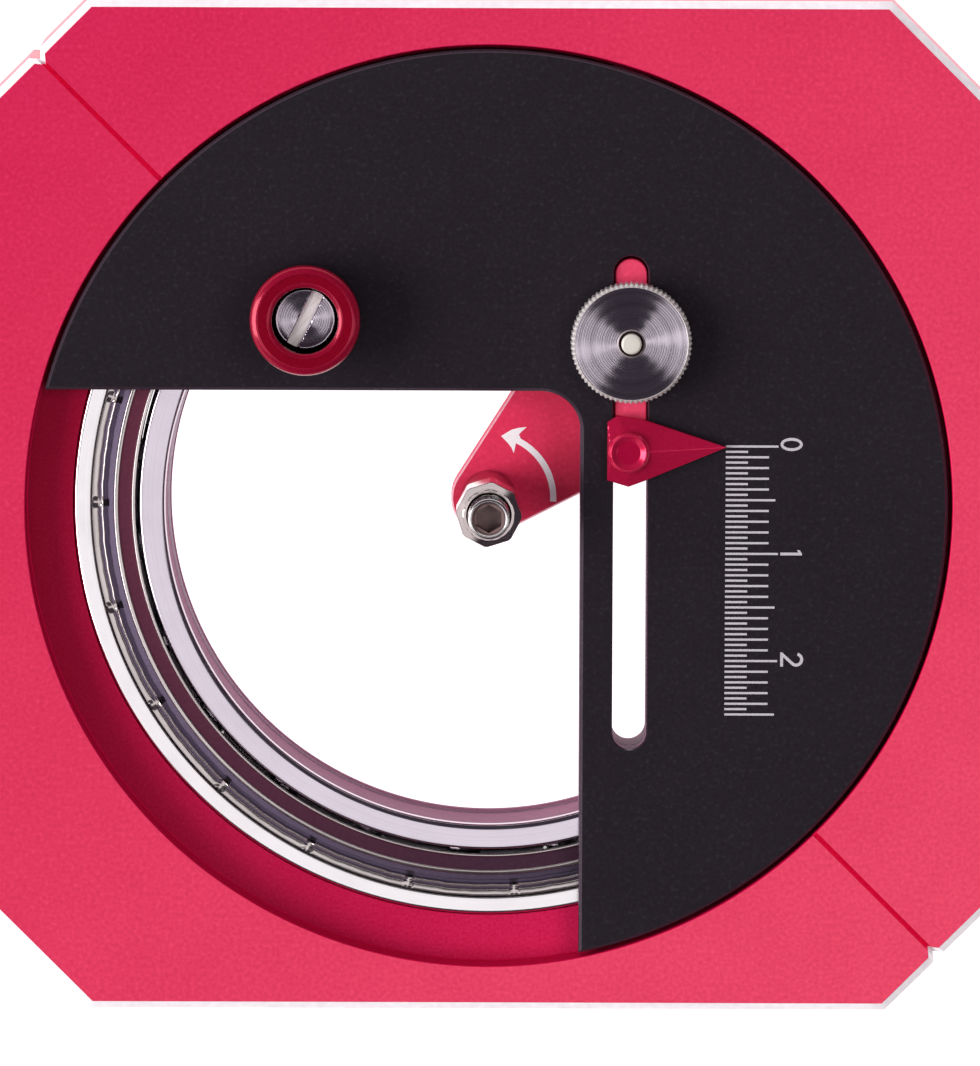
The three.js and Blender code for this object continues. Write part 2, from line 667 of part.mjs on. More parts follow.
// An outline drawn across and up, carried half a depth each way across the upright plane it lies in.
function upright(outline, halfDepth, turn) {
  const geometry = new THREE.ExtrudeGeometry(new THREE.Shape(outline), { depth: 2 * halfDepth, bevelEnabled: false });
  geometry.translate(0, 0, -halfDepth);
  geometry.rotateX(Math.PI / 2);
  geometry.rotateZ(turn);
  return toSolid(geometry);
}

// The return spring: a round wire wound about the blade, with its two ends closed flat.
function makeSpring() {
  const wire = SPRING_WIRE / 2;
  const radius = BLADE_SCREW_RADIUS - wire;
  const low = postFloorHigh + SPRING_GAP + wire;
  const high = carrierLow - SPRING_GAP - wire;
  const steps = SPRING_TURNS * COIL_STEPS;
  const rise = (high - low) / (SPRING_TURNS * 2 * Math.PI);
  const places = [];
  for (let i = 0; i <= steps; i += 1) {
    const angle = (i * 2 * Math.PI) / COIL_STEPS;
    const centre = polar(radius, angle);
    const out = polar(1, angle);
    const along = new THREE.Vector3(-radius * Math.sin(angle), radius * Math.cos(angle), rise).normalize();
    const away = new THREE.Vector3(out.x, out.y, 0);
    const over = new THREE.Vector3().crossVectors(away, along);
    for (let j = 0; j < COIL_SIDES; j += 1) {
      const turn = (j * 2 * Math.PI) / COIL_SIDES;
      const place = new THREE.Vector3(centre.x, centre.y, low + rise * angle);
      place.addScaledVector(away, wire * Math.cos(turn)).addScaledVector(over, wire * Math.sin(turn));
      places.push(place.x, place.y, place.z);
    }
  }
  const corners = [];
  for (let i = 0; i < steps; i += 1) {
    for (let j = 0; j < COIL_SIDES; j += 1) {
      const a = i * COIL_SIDES + j;
      const b = i * COIL_SIDES + ((j + 1) % COIL_SIDES);
      corners.push(a, b, b + COIL_SIDES, a, b + COIL_SIDES, a + COIL_SIDES);
    }
  }
  const last = steps * COIL_SIDES;
  for (let j = 1; j + 1 < COIL_SIDES; j += 1) {
    corners.push(0, j + 1, j, last, last + j, last + j + 1);
  }
  const geometry = new THREE.BufferGeometry();
  geometry.setAttribute('position', new THREE.Float32BufferAttribute(places, 3));
  geometry.setIndex(corners);
  return toSolid(geometry);
}

// Thumb nut, washer and stud

const washerLow = faceTop + WASHER_GAP;
const washerHigh = washerLow + WASHER_THICKNESS;
const thumbNutLow = washerHigh + THUMB_NUT_GAP;
const thumbNutHigh = thumbNutLow + THUMB_NUT_HEIGHT;
const studHigh = thumbNutHigh + STUD_PROUD;

function makeStud() {
  const low = keyHigh - STUD_DEPTH;
  return turned([
    [0, low], [STUD_RADIUS, low], [STUD_RADIUS, studHigh - STUD_CHAMFER],
    [STUD_RADIUS - STUD_CHAMFER, studHigh], [0, studHigh],
  ], SMALL_ROUND, SLOT_X, STUD_Y);
}

function makeWasher() {
  const inner = STUD_RADIUS + STUD_GAP;
  return turned([
    [inner, washerLow], [WASHER_RADIUS, washerLow], [WASHER_RADIUS, washerHigh], [inner, washerHigh],
  ], SMALL_ROUND, SLOT_X, STUD_Y);
}

function knurlOutline(inset) {
  const points = [];
  for (let i = 0; i < 2 * KNURL_COUNT; i += 1) {
    const radius = THUMB_NUT_RADIUS - inset - (i % 2) * KNURL_DEPTH;
    points.push(polar(radius, (i * Math.PI) / KNURL_COUNT, SLOT_X, STUD_Y));
  }
  return points;
}

function makeThumbNut() {
  const bore = STUD_RADIUS + STUD_GAP;
  const nut = chamferedPrism(knurlOutline, thumbNutLow, thumbNutHigh, THUMB_NUT_CHAMFER, THUMB_NUT_CHAMFER);
  return nut.subtract(turned([
    [0, thumbNutLow - OVERRUN], [bore, thumbNutLow - OVERRUN], [bore, thumbNutHigh - THUMB_NUT_COUNTERSINK],
    [bore + THUMB_NUT_COUNTERSINK, thumbNutHigh], [bore + THUMB_NUT_COUNTERSINK, thumbNutHigh + OVERRUN],
    [0, thumbNutHigh + OVERRUN],
  ], SMALL_ROUND, SLOT_X, STUD_Y));
}

// Pointer and pin

const pointerLow = faceTop + POINTER_GAP;
const pointerHigh = pointerLow + POINTER_HEIGHT;
const ringFloor = pointerHigh - RING_DEPTH;

function pointerOutline() {
  return [
    [POINTER_X - POINTER_LEFT, POINTER_Y + POINTER_LEFT_TOP],
    [POINTER_X - POINTER_LEFT, POINTER_Y - POINTER_SIDE_LOW],
    [POINTER_X, POINTER_Y - POINTER_FOOT],
    [POINTER_X + POINTER_RIGHT, POINTER_Y - POINTER_SIDE_LOW],
    [POINTER_TIP_X, POINTER_TIP_Y],
    [POINTER_X + POINTER_RIGHT, POINTER_Y + POINTER_SIDE_TOP],
    [POINTER_X - POINTER_LEFT / 2, POINTER_Y + POINTER_TOP],
  ].map(([x, y]) => new THREE.Vector2(x, y));
}

// The pointer's sides stand up to its edge, and its roof slopes from there to a peak under the ring.
function makePointer() {
  const outline = pointerOutline();
  const count = outline.length;
  const places = [];
  for (const z of [pointerLow, pointerLow + POINTER_EDGE]) {
    for (const point of outline) places.push(point.x, point.y, z);
  }
  places.push(POINTER_X, POINTER_Y, pointerLow, POINTER_X, POINTER_Y, pointerHigh);
  const corners = [];
  for (let i = 0; i < count; i += 1) {
    const next = (i + 1) % count;
    corners.push(i, next, next + count, i, next + count, i + count);
    corners.push(next, i, 2 * count, i + count, next + count, 2 * count + 1);
  }
  const geometry = new THREE.BufferGeometry();
  geometry.setAttribute('position', new THREE.Float32BufferAttribute(places, 3));
  geometry.setIndex(corners);
  let pointer = toSolid(geometry);
  const ring = RING_RADIUS;
  pointer = pointer.add(turned([
    [0, pointerLow], [ring, pointerLow], [ring, pointerHigh - RING_CHAMFER],
    [ring - RING_CHAMFER, pointerHigh], [0, pointerHigh],
  ], SMALL_ROUND, POINTER_X, POINTER_Y));
  const tenonLow = keyHigh + TENON_GAP;
  const tenon = rectangle(
    SLOT_X - TENON_WIDTH / 2, POINTER_Y - TENON_LENGTH / 2, SLOT_X + TENON_WIDTH / 2, POINTER_Y + TENON_LENGTH / 2,
  );
  pointer = pointer.add(prism(tenon, tenonLow, pointerLow + POINTER_EDGE));
  pointer = pointer.subtract(disc(ring - RING_WALL, ringFloor, pointerHigh + OVERRUN, SMALL_ROUND, POINTER_X, POINTER_Y));
  return pointer.subtract(
    disc(PIN_RADIUS + PIN_GAP, tenonLow - OVERRUN, pointerHigh, TINY_ROUND, POINTER_X, POINTER_Y),
  );
}

function makePin() {
  const head = RING_RADIUS - RING_WALL - PIN_GAP;
  const low = keyHigh - PIN_DEPTH;
  const headLow = ringFloor + PIN_GAP;
  const headHigh = headLow + PIN_HEAD_THICKNESS;
  return turned([
    [0, low], [PIN_RADIUS, low], [PIN_RADIUS, headLow], [head, headLow], [head, headHigh], [0, headHigh],
  ], SMALL_ROUND, POINTER_X, POINTER_Y);
}

// Handle and its screw

const handleLow = faceTop + HANDLE_GAP;
const handleHigh = handleLow + HANDLE_HEIGHT;
const handleFloor = handleLow + HANDLE_FLOOR;
const handleHeadLow = handleFloor + HANDLE_SCREW_HEAD_GAP;
const handleHeadHigh = handleHeadLow + HANDLE_SCREW_HEAD;

function makeHandle() {
  const hole = HANDLE_SHOULDER_RADIUS + HANDLE_SHOULDER_GAP;
  const rimLow = handleHigh - HANDLE_RIM;
  const waistLow = handleLow + HANDLE_FOOT + HANDLE_SLOPE;
  return turned([
    [hole, handleLow], [HANDLE_FOOT_RADIUS, handleLow], [HANDLE_FOOT_RADIUS, handleLow + HANDLE_FOOT],
    [HANDLE_WAIST_RADIUS, waistLow], [HANDLE_WAIST_RADIUS, rimLow - HANDLE_SLOPE],
    [HANDLE_RADIUS, rimLow], [HANDLE_RADIUS, handleHigh - HANDLE_CHAMFER],
    [HANDLE_RADIUS - HANDLE_CHAMFER, handleHigh], [HANDLE_RECESS_RADIUS + HANDLE_RECESS_CHAMFER, handleHigh],
    [HANDLE_RECESS_RADIUS, handleHigh - HANDLE_RECESS_CHAMFER], [HANDLE_RECESS_RADIUS, handleFloor],
    [hole, handleFloor],
  ], SMALL_ROUND, HANDLE_X, HANDLE_Y);
}

function makeHandleScrew() {
  const head = HANDLE_SCREW_HEAD_RADIUS;
  const edge = HANDLE_SCREW_HEAD_CHAMFER;
  const threadLow = faceTop - HANDLE_THREAD_LENGTH;
  const screw = turned([
    [0, threadLow], [HANDLE_THREAD_RADIUS, threadLow], [HANDLE_THREAD_RADIUS, faceTop + HANDLE_THREAD_GAP],
    [HANDLE_SHOULDER_RADIUS, faceTop + HANDLE_THREAD_GAP], [HANDLE_SHOULDER_RADIUS, handleHeadLow],
    [head, handleHeadLow], [head, handleHeadHigh - edge], [head - edge, handleHeadHigh], [0, handleHeadHigh],
  ], SMALL_ROUND, HANDLE_X, HANDLE_Y);
  const half = DRIVER_SLOT_WIDTH / 2;
  const slot = rectangle(-head - OVERRUN, -half, head + OVERRUN, half);
  const outline = turnedOutline(slot, DRIVER_SLOT_DEGREES, HANDLE_X, HANDLE_Y);
  return screw.subtract(prism(outline, handleHeadHigh - DRIVER_SLOT_DEPTH, handleHeadHigh + OVERRUN));
}

// Retaining ring and its screws

function makeRetainer() {
  const outer = retainerInnerRadius + RETAINER_WIDTH;
  let ring = turned([
    [retainerInnerRadius, retainerLow], [outer, retainerLow],
    [outer, retainerHigh], [retainerInnerRadius, retainerHigh],
  ], BIG_ROUND);
  const reach = retainerInnerRadius + RETAINER_WIDTH / 2;
  for (const degrees of LUG_DEGREES) {
    const round = LUG_WIDTH / 2;
    const lug = [
      ...arc(lugInnerRadius + round, 0, round, Math.PI / 2, (3 * Math.PI) / 2, FILLET_STEPS),
      new THREE.Vector2(reach, -round), new THREE.Vector2(reach, round),
    ];
    ring = ring.add(prism(turnedOutline(lug, degrees), retainerLow, retainerHigh));
  }
  for (const degrees of LUG_DEGREES) ring = ring.subtract(retainerScrewShape(degrees, RETAINER_SCREW_GAP));
  return ring;
}

// A countersunk screw that stands head down: its cone narrows from the head's flat face to the shank.
function retainerScrewShape(degrees, grow) {
  const place = polar(lugScrewRadius, radians(degrees));
  const head = RETAINER_SCREW_HEAD_RADIUS + grow;
  const shank = RETAINER_SCREW_RADIUS + grow;
  const low = grow > 0 ? retainerLow - OVERRUN : retainerLow + RETAINER_SCREW_GAP;
  return turned([
    [0, low], [head, low], [head, retainerLow + RETAINER_SCREW_GAP],
    [shank, retainerLow + RETAINER_SCREW_CONE], [shank, retainerLow + RETAINER_SCREW_LENGTH],
    [0, retainerLow + RETAINER_SCREW_LENGTH],
  ].filter((point, i, all) => i === 0 || point[0] !== all[i - 1][0] || point[1] !== all[i - 1][1]),
  TINY_ROUND, place.x, place.y);
}

function makeRetainerScrew(degrees) {
  const place = polar(lugScrewRadius, radians(degrees));
  const low = retainerLow + RETAINER_SCREW_GAP;
  const socket = flatted(6, RETAINER_SOCKET_FLATS).map((point) => point.add(place));
  return retainerScrewShape(degrees, 0).subtract(prism(socket, low - OVERRUN, low + RETAINER_SOCKET_DEPTH));
}

// Finishes

function finish(color, metalness, roughness) {
  return new THREE.MeshStandardMaterial({ color, metalness, roughness });
}

const redAnodised = finish(0xd42a58, 0.6, 0.45);
const darkRedAnodised = finish(0x8f0d2c, 0.7, 0.25);
const blackAnodised = finish(0x262126, 0.5, 0.5);
const polishedSteel = finish(0xd9d6dc, 1, 0.15);
const turnedSteel = finish(0xb9b5bd, 1, 0.3);
const pressedSteel = finish(0xa8a4ac, 1, 0.22);
const brightWire = finish(0x9c9ca0, 1, 0.35);

// The assembled tool

const group = new THREE.Group();

function place(name, solid, material) {
  const mesh = new THREE.Mesh(toGeometry(solid), material);
  mesh.name = name;
  group.add(mesh);
}

place('frame_body', makeFrame(), redAnodised);
place('bearing_outer_race', makeOuterRace(), polishedSteel);
place('bearing_inner_race', makeInnerRace(), polishedSteel);
place('bearing_shield_top', makeShield(bearingHigh, 1), pressedSteel);
place('bearing_shield_bottom', makeShield(bearingLow, -1), pressedSteel);
place('bearing_cage', makeCage(), pressedSteel);
ballPlaces().forEach((spot, i) => {
  place(`bearing_ball_${String(i + 1).padStart(2, '0')}`, makeBall(spot), polishedSteel);
});
place('disc_plate', makeDisc(), blackAnodised);
place('retaining_ring', makeRetainer(), turnedSteel);
LUG_DEGREES.forEach((degrees, i) => {
  place(`retaining_screw_${i + 1}`, makeRetainerScrew(degrees), turnedSteel);
});
place('handle_knob', makeHandle(), darkRedAnodised);
place('handle_screw', makeHandleScrew(), turnedSteel);
place('slider_arm', makeArm(), redAnodised);
place('clamp_stud', makeStud(), turnedSteel);
place('clamp_washer', makeWasher(), turnedSteel);
place('thumb_nut', makeThumbNut(), turnedSteel);
place('pointer', makePointer(), darkRedAnodised);
place('pointer_pin', makePin(), darkRedAnodised);
place('blade_lock_nut', makeLockNut(), polishedSteel);
place('blade_screw', makeBladeScrew(), turnedSteel);
place('blade_carrier', makeCarrier(), turnedSteel);
place('blade_return_spring', makeSpring(), brightWire);
place('blade', makeBlade(), polishedSteel);

export default group;
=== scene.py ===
"""The looks of the circle cutter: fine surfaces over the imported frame, their finishes, the light and the camera.

Sizes are in millimetres, as in the part's source, and become metres where a mesh is made. +Z is up, the turning
axis is at x = y = 0, and the frame stands on z = 0.
"""

import math

import bmesh
import bpy
import numpy as np
from mathutils import Matrix, Vector
from mathutils.geometry import tessellate_polygon


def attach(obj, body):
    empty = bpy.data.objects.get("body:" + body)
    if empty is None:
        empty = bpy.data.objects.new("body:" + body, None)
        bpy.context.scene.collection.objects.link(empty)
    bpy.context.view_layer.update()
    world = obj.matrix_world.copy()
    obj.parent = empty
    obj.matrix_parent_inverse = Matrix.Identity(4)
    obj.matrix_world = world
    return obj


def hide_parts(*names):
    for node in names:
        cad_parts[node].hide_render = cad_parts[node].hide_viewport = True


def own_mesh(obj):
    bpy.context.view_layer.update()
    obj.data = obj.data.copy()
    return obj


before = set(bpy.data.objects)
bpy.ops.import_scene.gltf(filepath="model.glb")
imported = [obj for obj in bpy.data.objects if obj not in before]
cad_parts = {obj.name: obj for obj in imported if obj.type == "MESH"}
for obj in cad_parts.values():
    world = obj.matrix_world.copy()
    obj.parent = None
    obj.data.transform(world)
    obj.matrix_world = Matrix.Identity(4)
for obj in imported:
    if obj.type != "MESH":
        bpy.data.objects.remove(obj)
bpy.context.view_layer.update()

MM = 0.001
TAU = 2 * math.pi

# Levels and places shared by several pieces
FACE_TOP = 12.0
LEDGE_TOP = 8.4
LIP_TOP = 1.6
RACE_LOW = 1.7
RACE_HIGH = 8.7
SLOT_X = 13.08
STUD_Y = 15.6
KNOB_X, KNOB_Y = -16.95, 17.9
POINTER_X, POINTER_Y = 12.9, 5.34


# Camera: the photograph looks down almost along the turning axis, from a metre up and a little behind

PHOTO_WIDTH = 980
FOCAL_PIXELS = 10809
SENSOR_WIDTH = 36
CAMERA_SHIFT = Vector((-0.11, 2.32, -1000.0))
CAMERA_TURNS = (("Z", -0.20), ("X", 6.74), ("Y", 0.09))


def add_camera():
    """Row-frame point P from the face's centre is seen at R P + shift, with R a turn about Y, then X, then Z."""
    turn = Matrix.Identity(3)
    for axis, degrees in CAMERA_TURNS:
        turn = turn @ Matrix.Rotation(math.radians(degrees), 3, axis)
    place = -(turn.transposed() @ CAMERA_SHIFT) + Vector((0, 0, FACE_TOP))
    camera = bpy.data.objects.new("camera", bpy.data.cameras.new("camera"))
    bpy.context.scene.collection.objects.link(camera)
    camera.matrix_world = Matrix.Translation(place * MM) @ turn.transposed().to_4x4()
    camera.data.sensor_fit = "HORIZONTAL"
    camera.data.sensor_width = SENSOR_WIDTH
    camera.data.lens = FOCAL_PIXELS * SENSOR_WIDTH / PHOTO_WIDTH
    camera.data.clip_start = 0.05
    camera.data.clip_end = 20
    bpy.context.scene.camera = camera


# Meshes. A section is rows of radius and height, an outline rows of plan points. Faces are rows of four point
# numbers, in which a triangle's last is -1.


def soften(corners, reach, steps=4, closed=True):
    """Rounds the corners of a section: a corner P between A and B, each a reach away from it along the two
    edges, becomes the curve (1-s)(1-s) A + 2 s (1-s) P + s s B. An open section keeps its two ends."""
    corners = np.asarray(corners, float)
    reach = np.broadcast_to(np.asarray(reach, float), len(corners))
    back = np.roll(corners, 1, axis=0) - corners
    ahead = np.roll(corners, -1, axis=0) - corners
    back_length = np.linalg.norm(back, axis=1)
    ahead_length = np.linalg.norm(ahead, axis=1)
    cut = np.minimum(reach, 0.45 * np.minimum(back_length, ahead_length))[:, None]
    start = corners + back / back_length[:, None] * cut
    end = corners + ahead / ahead_length[:, None] * cut
    s = np.linspace(0, 1, steps + 1)[None, :, None]
    curves = (1 - s) ** 2 * start[:, None] + 2 * s * (1 - s) * corners[:, None] + s**2 * end[:, None]
    if closed:
        return curves.reshape(-1, 2)
    return np.vstack([corners[:1], curves[1:-1].reshape(-1, 2), corners[-1:]])


def middles_of(section):
    """The middle of each edge of a closed section, from each point to the one after it."""
    return (section + np.roll(section, -1, axis=0)) / 2


def once_round(count):
    """Angles in equal steps, the first of them nought."""
    return np.linspace(0, TAU, count, endpoint=False)


def polar(radius, angle, x=0.0, y=0.0):
    """Plan points (x + r cos a, y + r sin a)."""
    return np.stack([x + radius * np.cos(angle), y + radius * np.sin(angle)], axis=-1)


def spun(radius, angle, height, x=0.0, y=0.0):
    """A grid of points (x + r cos a, y + r sin a, h), with a row for each point of a section."""
    plan = polar(radius, angle, x, y)
    return np.dstack([plan, np.broadcast_to(height, plan.shape[:2])])


def grid_faces(rows, columns, wrap_rows=False, wrap_columns=True):
    """Quads between neighbouring rows and columns of a grid of points numbered row by row."""
    row = np.arange(rows if wrap_rows else rows - 1)[:, None]
    column = np.arange(columns if wrap_columns else columns - 1)[None, :]
    row_next, column_next = (row + 1) % rows, (column + 1) % columns
    quads = np.stack([
        row * columns + column, row * columns + column_next,
        row_next * columns + column_next, row_next * columns + column,
    ], axis=-1)
    return quads.reshape(-1, 4)


def piece(name, points, faces, materials, body, replaced=None, slots=None, sharp=32, weighted=True):
    """Puts points in millimetres and faces into a mesh object, with its faces turned outwards and edges sharper
    than so many degrees left sharp. It rides on its body, and takes the place of a node of the frame."""
    mesh = bpy.data.meshes.new(name)
    faces = [face[:3] if face[3] < 0 else face for face in faces.tolist()]
    mesh.from_pydata((points.reshape(-1, 3) * MM).tolist(), [], faces)
    for material in materials if isinstance(materials, list) else [materials]:
        mesh.materials.append(material)
    if slots is not None:
        mesh.polygons.foreach_set("material_index", np.asarray(slots, np.int32))
    work = bmesh.new()
    work.from_mesh(mesh)
    bmesh.ops.remove_doubles(work, verts=work.verts, dist=1e-7)
    bmesh.ops.dissolve_degenerate(work, edges=work.edges, dist=1e-8)
    bmesh.ops.recalc_face_normals(work, faces=work.faces)
    work.to_mesh(mesh)
    work.free()
    mesh.shade_smooth()
    mesh.set_sharp_from_angle(angle=math.radians(sharp))
    made = bpy.data.objects.new(name, mesh)
    bpy.context.scene.collection.objects.link(made)
    if weighted:
        steady = made.modifiers.new("steady_shading", "WEIGHTED_NORMAL")
        steady.keep_sharp = True
    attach(made, body)
    if replaced:
        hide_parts(replaced)
    return made


def turned_points(section, about=(0, 0), around=192):
    """A section carried round an upright axis through a plan point."""
    return spun(section[:, :1], once_round(around), section[:, 1:], *about)


def turned(name, section, materials, body, replaced=None, about=(0, 0), around=192, slots=None, **more):
    """A turned piece. A section that starts and ends on the axis is closed there, any other on itself."""
    ring = not (section[0, 0] == 0 and section[-1, 0] == 0)
    faces = grid_faces(len(section), around, wrap_rows=ring)
    slots = None if slots is None else np.repeat(slots, around)
    return piece(name, turned_points(section, about, around), faces, materials, body, replaced, slots, **more)


def plate_mesh(loops, levels):
    """Points and faces of a flat piece. Each loop gives its outline for an inset, the first loop outside and
    the others round holes; levels are (inset, height) from the bottom up. The ends are filled flat."""
    points, faces, ends = [], [], ([], [])
    count = 0
    for loop in loops:
        rows = [np.column_stack([loop(inset), np.full(len(loop(inset)), height)]) for inset, height in levels]
        size = len(rows[0])
        points.append(np.vstack(rows))
        faces.append(grid_faces(len(rows), size) + count)
        ends[0].append((rows[0], count))
        ends[1].append((rows[-1], count + size * (len(rows) - 1)))
        count += size * len(rows)
    for end in ends:
        numbers = np.concatenate([start + np.arange(len(row)) for row, start in end])
        corners = numbers[np.array(tessellate_polygon([[Vector(p) for p in row] for row, start in end]))]
        faces.append(np.column_stack([corners, np.full(len(corners), -1)]))
    return np.vstack(points), np.vstack(faces)


def several(parts):
    """Joins (points, faces) pairs into one pair, numbering the faces on from part to part."""
    points = [part_points.reshape(-1, 3) for part_points, part_faces in parts]
    counts = np.cumsum([0] + [len(rows) for rows in points])
    faces = [np.where(part_faces < 0, -1, part_faces + count)
             for (part_points, part_faces), count in zip(parts, counts)]
    return np.vstack(points), np.vstack(faces)


def edged(low, high, low_cut, high_cut, steps=3):
    """Levels of a plate whose bottom and top edges are cut at 45 degrees and slightly rounded."""
    corners = [(low_cut, low), (0, low + low_cut), (0, high - high_cut), (high_cut, high)]
    return soften(corners, [0, 0.3 * low_cut, 0.3 * high_cut, 0], steps, closed=False)


def arc(x, y, radius, start, end, steps):
    """Points at radius round (x, y), from one angle to the other."""
    return polar(radius, np.linspace(start, end, steps + 1), x, y)


def stadium(x, low, high, half):
    """Two half circles of radius half, joined by straight sides along Y."""
    return np.vstack([
        arc(x, high - half, half, 0, math.pi, 32),
        arc(x, low + half, half, math.pi, TAU, 32),
    ])


def polygon_radius(angle, sides, flats, turn=0.0):
    """Distance from the axis to the side of a regular polygon whose first flat's middle is at angle turn:
    half the distance across flats over the cosine of the angle to the nearest flat's middle."""
    step = TAU / sides
    near = (angle - turn + step / 2) % step - step / 2
    return flats / 2 / np.cos(near)


def faces_between(points, faces, low, high):
    """One for each face whose corners' mean height lies between two heights, else nought."""
    real = faces >= 0
    height = np.where(real, points[faces, 2], 0).sum(axis=1) / real.sum(axis=1)
    return ((low < height) & (height < high)).astype(int)


def at_corners(values, faces):
    """A value for each corner of each face, with a triangle's first corner taken twice."""
    return values[np.where(faces < 0, faces[:, :1], faces)]


def moved(points, degrees=0.0, x=0.0, y=0.0):
    """Turns plan points about the axis, then moves them."""
    c, s = math.cos(math.radians(degrees)), math.sin(math.radians(degrees))
    points = np.asarray(points, float)
    return points @ np.array([[c, s], [-s, c]]) + np.array([x, y])


# Shader nodes and groups


def linear(red, green, blue):
    """Linear colour of an 8-bit screen colour."""
    share = np.array([red, green, blue]) / 255
    low, high = share / 12.92, ((share + 0.055) / 1.055) ** 2.4
    return (*np.where(share <= 0.04045, low, high).tolist(), 1.0)


def node(tree, kind, values=None, **settings):
    """Adds a shader node, sets its properties, and sets or links its inputs by name or number."""
    made = tree.nodes.new(kind)
    for key, value in settings.items():
        setattr(made, key, value)
    for key, value in (values or {}).items():
        if isinstance(value, bpy.types.NodeSocket):
            tree.links.new(value, made.inputs[key])
        else:
            made.inputs[key].default_value = value
    return made


def maths(tree, operation, *values):
    """The result of one arithmetic step on numbers or sockets."""
    return node(tree, "ShaderNodeMath", dict(enumerate(values)), operation=operation).outputs[0]


def vector_maths(tree, operation, *values):
    """As maths, for places and directions. A length or a dot product is the second output."""
    return node(tree, "ShaderNodeVectorMath", dict(enumerate(values)), operation=operation).outputs


def ramp(tree, value, low, high, to_low=0.0, to_high=1.0, **settings):
    """Carries low to high onto another span, and holds what lies outside at the span's ends."""
    return node(tree, "ShaderNodeMapRange", {0: value, 1: low, 2: high, 3: to_low, 4: to_high}, **settings).outputs[0]


def noise(tree, values, **settings):
    """Fractal noise, which mostly lies between 0.3 and 0.7."""
    return node(tree, "ShaderNodeTexNoise", values, **settings).outputs["Fac"]


def from_noise(tree, value, low, high):
    """Carries the span where noise mostly lies onto low to high."""
    return ramp(tree, value, 0.3, 0.7, low, high)


def mix_colours(tree, share, first, second):
    """First where share is nought, second where it is one."""
    return node(tree, "ShaderNodeMix", {0: share, 6: first, 7: second}, data_type="RGBA").outputs[2]


def place_in(tree):
    """Where a shaded point lies in its object."""
    return node(tree, "ShaderNodeTexCoord").outputs["Object"]


def group_tree(name, takes, gives):
    """An empty shader group. Takes maps each input to its default, None for a place; gives names the outputs."""
    tree = bpy.data.node_groups.new(name, "ShaderNodeTree")
    for key, default in takes.items():
        kind = "NodeSocketVector" if default is None else "NodeSocketFloat"
        socket = tree.interface.new_socket(key, in_out="INPUT", socket_type=kind)
        if default is not None:
            socket.default_value = default
    for key in gives:
        tree.interface.new_socket(key, in_out="OUTPUT", socket_type="NodeSocketFloat")
    return tree, tree.nodes.new("NodeGroupInput").outputs, tree.nodes.new("NodeGroupOutput").inputs


def use_group(tree, group, **values):
    """Adds a group node, sets its named inputs and returns its outputs."""
    made = tree.nodes.new("ShaderNodeGroup")
    made.node_tree = group
    for key, value in values.items():
        made.inputs[key].default_value = value
    return made.outputs


def make_grain():
    """Blasted grain: fine noise at Scale per metre. Speck is a mask of the highest spots, Height the surface,
    and Cloud the grain with a slow drift in it."""
    tree, takes, gives = group_tree("blasted_grain", {"Scale": 5000.0, "Specks": 0.3}, ("Height", "Speck", "Cloud"))
    place = place_in(tree)
    fine = noise(tree, {"Vector": place, "Scale": takes["Scale"], "Detail": 3.0})
    broad = noise(tree, {"Vector": place, "Scale": 90.0, "Detail": 4.0, "Roughness": 0.6})
    tree.links.new(fine, gives["Height"])
    tree.links.new(maths(tree, "MULTIPLY", ramp(tree, fine, 0.6, 0.8), takes["Specks"]), gives["Speck"])
    tree.links.new(node(tree, "ShaderNodeMix", {0: 0.3, 2: fine, 3: broad}).outputs[0], gives["Cloud"])
    return tree


def make_lathe_marks():
    """Turning marks: noise of the distance to an upright axis through Centre, so each ring has one height. Tone is
    the same with broader rings."""
    tree, takes, gives = group_tree("lathe_marks", {"Centre": None, "Rings": 6000.0}, ("Height", "Tone"))
    away = vector_maths(tree, "SUBTRACT", place_in(tree), takes["Centre"])[0]
    level = vector_maths(tree, "MULTIPLY", away, (1, 1, 0))[0]
    reach = vector_maths(tree, "LENGTH", level)["Value"]
    for key, rings, detail in (("Height", takes["Rings"], 2.0), ("Tone", 1500.0, 3.0)):
        count = maths(tree, "MULTIPLY", reach, rings)
        marks = noise(tree, {"W": count, "Scale": 1.0, "Detail": detail}, noise_dimensions="1D")
        tree.links.new(marks, gives[key])
    return tree


def make_handling():
    """Signs of use: Smudge is a slow cloud for the gloss."""
    tree, takes, gives = group_tree("handling", {"Amount": 1.0}, ("Smudge",))
    cloud = noise(tree, {"Vector": place_in(tree), "Scale": 160.0, "Detail": 5.0, "Roughness": 0.65})
    tree.links.new(maths(tree, "MULTIPLY", cloud, takes["Amount"]), gives["Smudge"])
    return tree


GRAIN = make_grain()
LATHE_MARKS = make_lathe_marks()
HANDLING = make_handling()


# Finishes. Colours are 8-bit screen colours, depths millimetres, grains and rings counts a metre.

# How far either side of the middle the painted light and shade towards the lower right blends in
PAINTED_SHADING_REACH = 0.045


def new_material(name, **constants):
    """A material with one Principled shader. Returns it with its tree and shader."""
    material = bpy.data.materials.new(name)
    material.use_nodes = True
    tree = material.node_tree
    shader = tree.nodes["Principled BSDF"]
    for key, value in constants.items():
        shader.inputs[key.replace("_", " ")].default_value = value
    return material, tree, shader


def finish(tree, shader, colour, rough, height, strength, depth):
    """Gives a shader its colour, a roughness that wanders between two values, and a bump of a depth."""
    smudge = use_group(tree, HANDLING, Amount=1.0)["Smudge"]
    bump = node(tree, "ShaderNodeBump", {"Height": height, "Strength": strength, "Distance": depth * MM})
    tree.links.new(colour, shader.inputs["Base Color"])
    tree.links.new(from_noise(tree, smudge, *rough), shader.inputs["Roughness"])
    tree.links.new(bump.outputs[0], shader.inputs["Normal"])


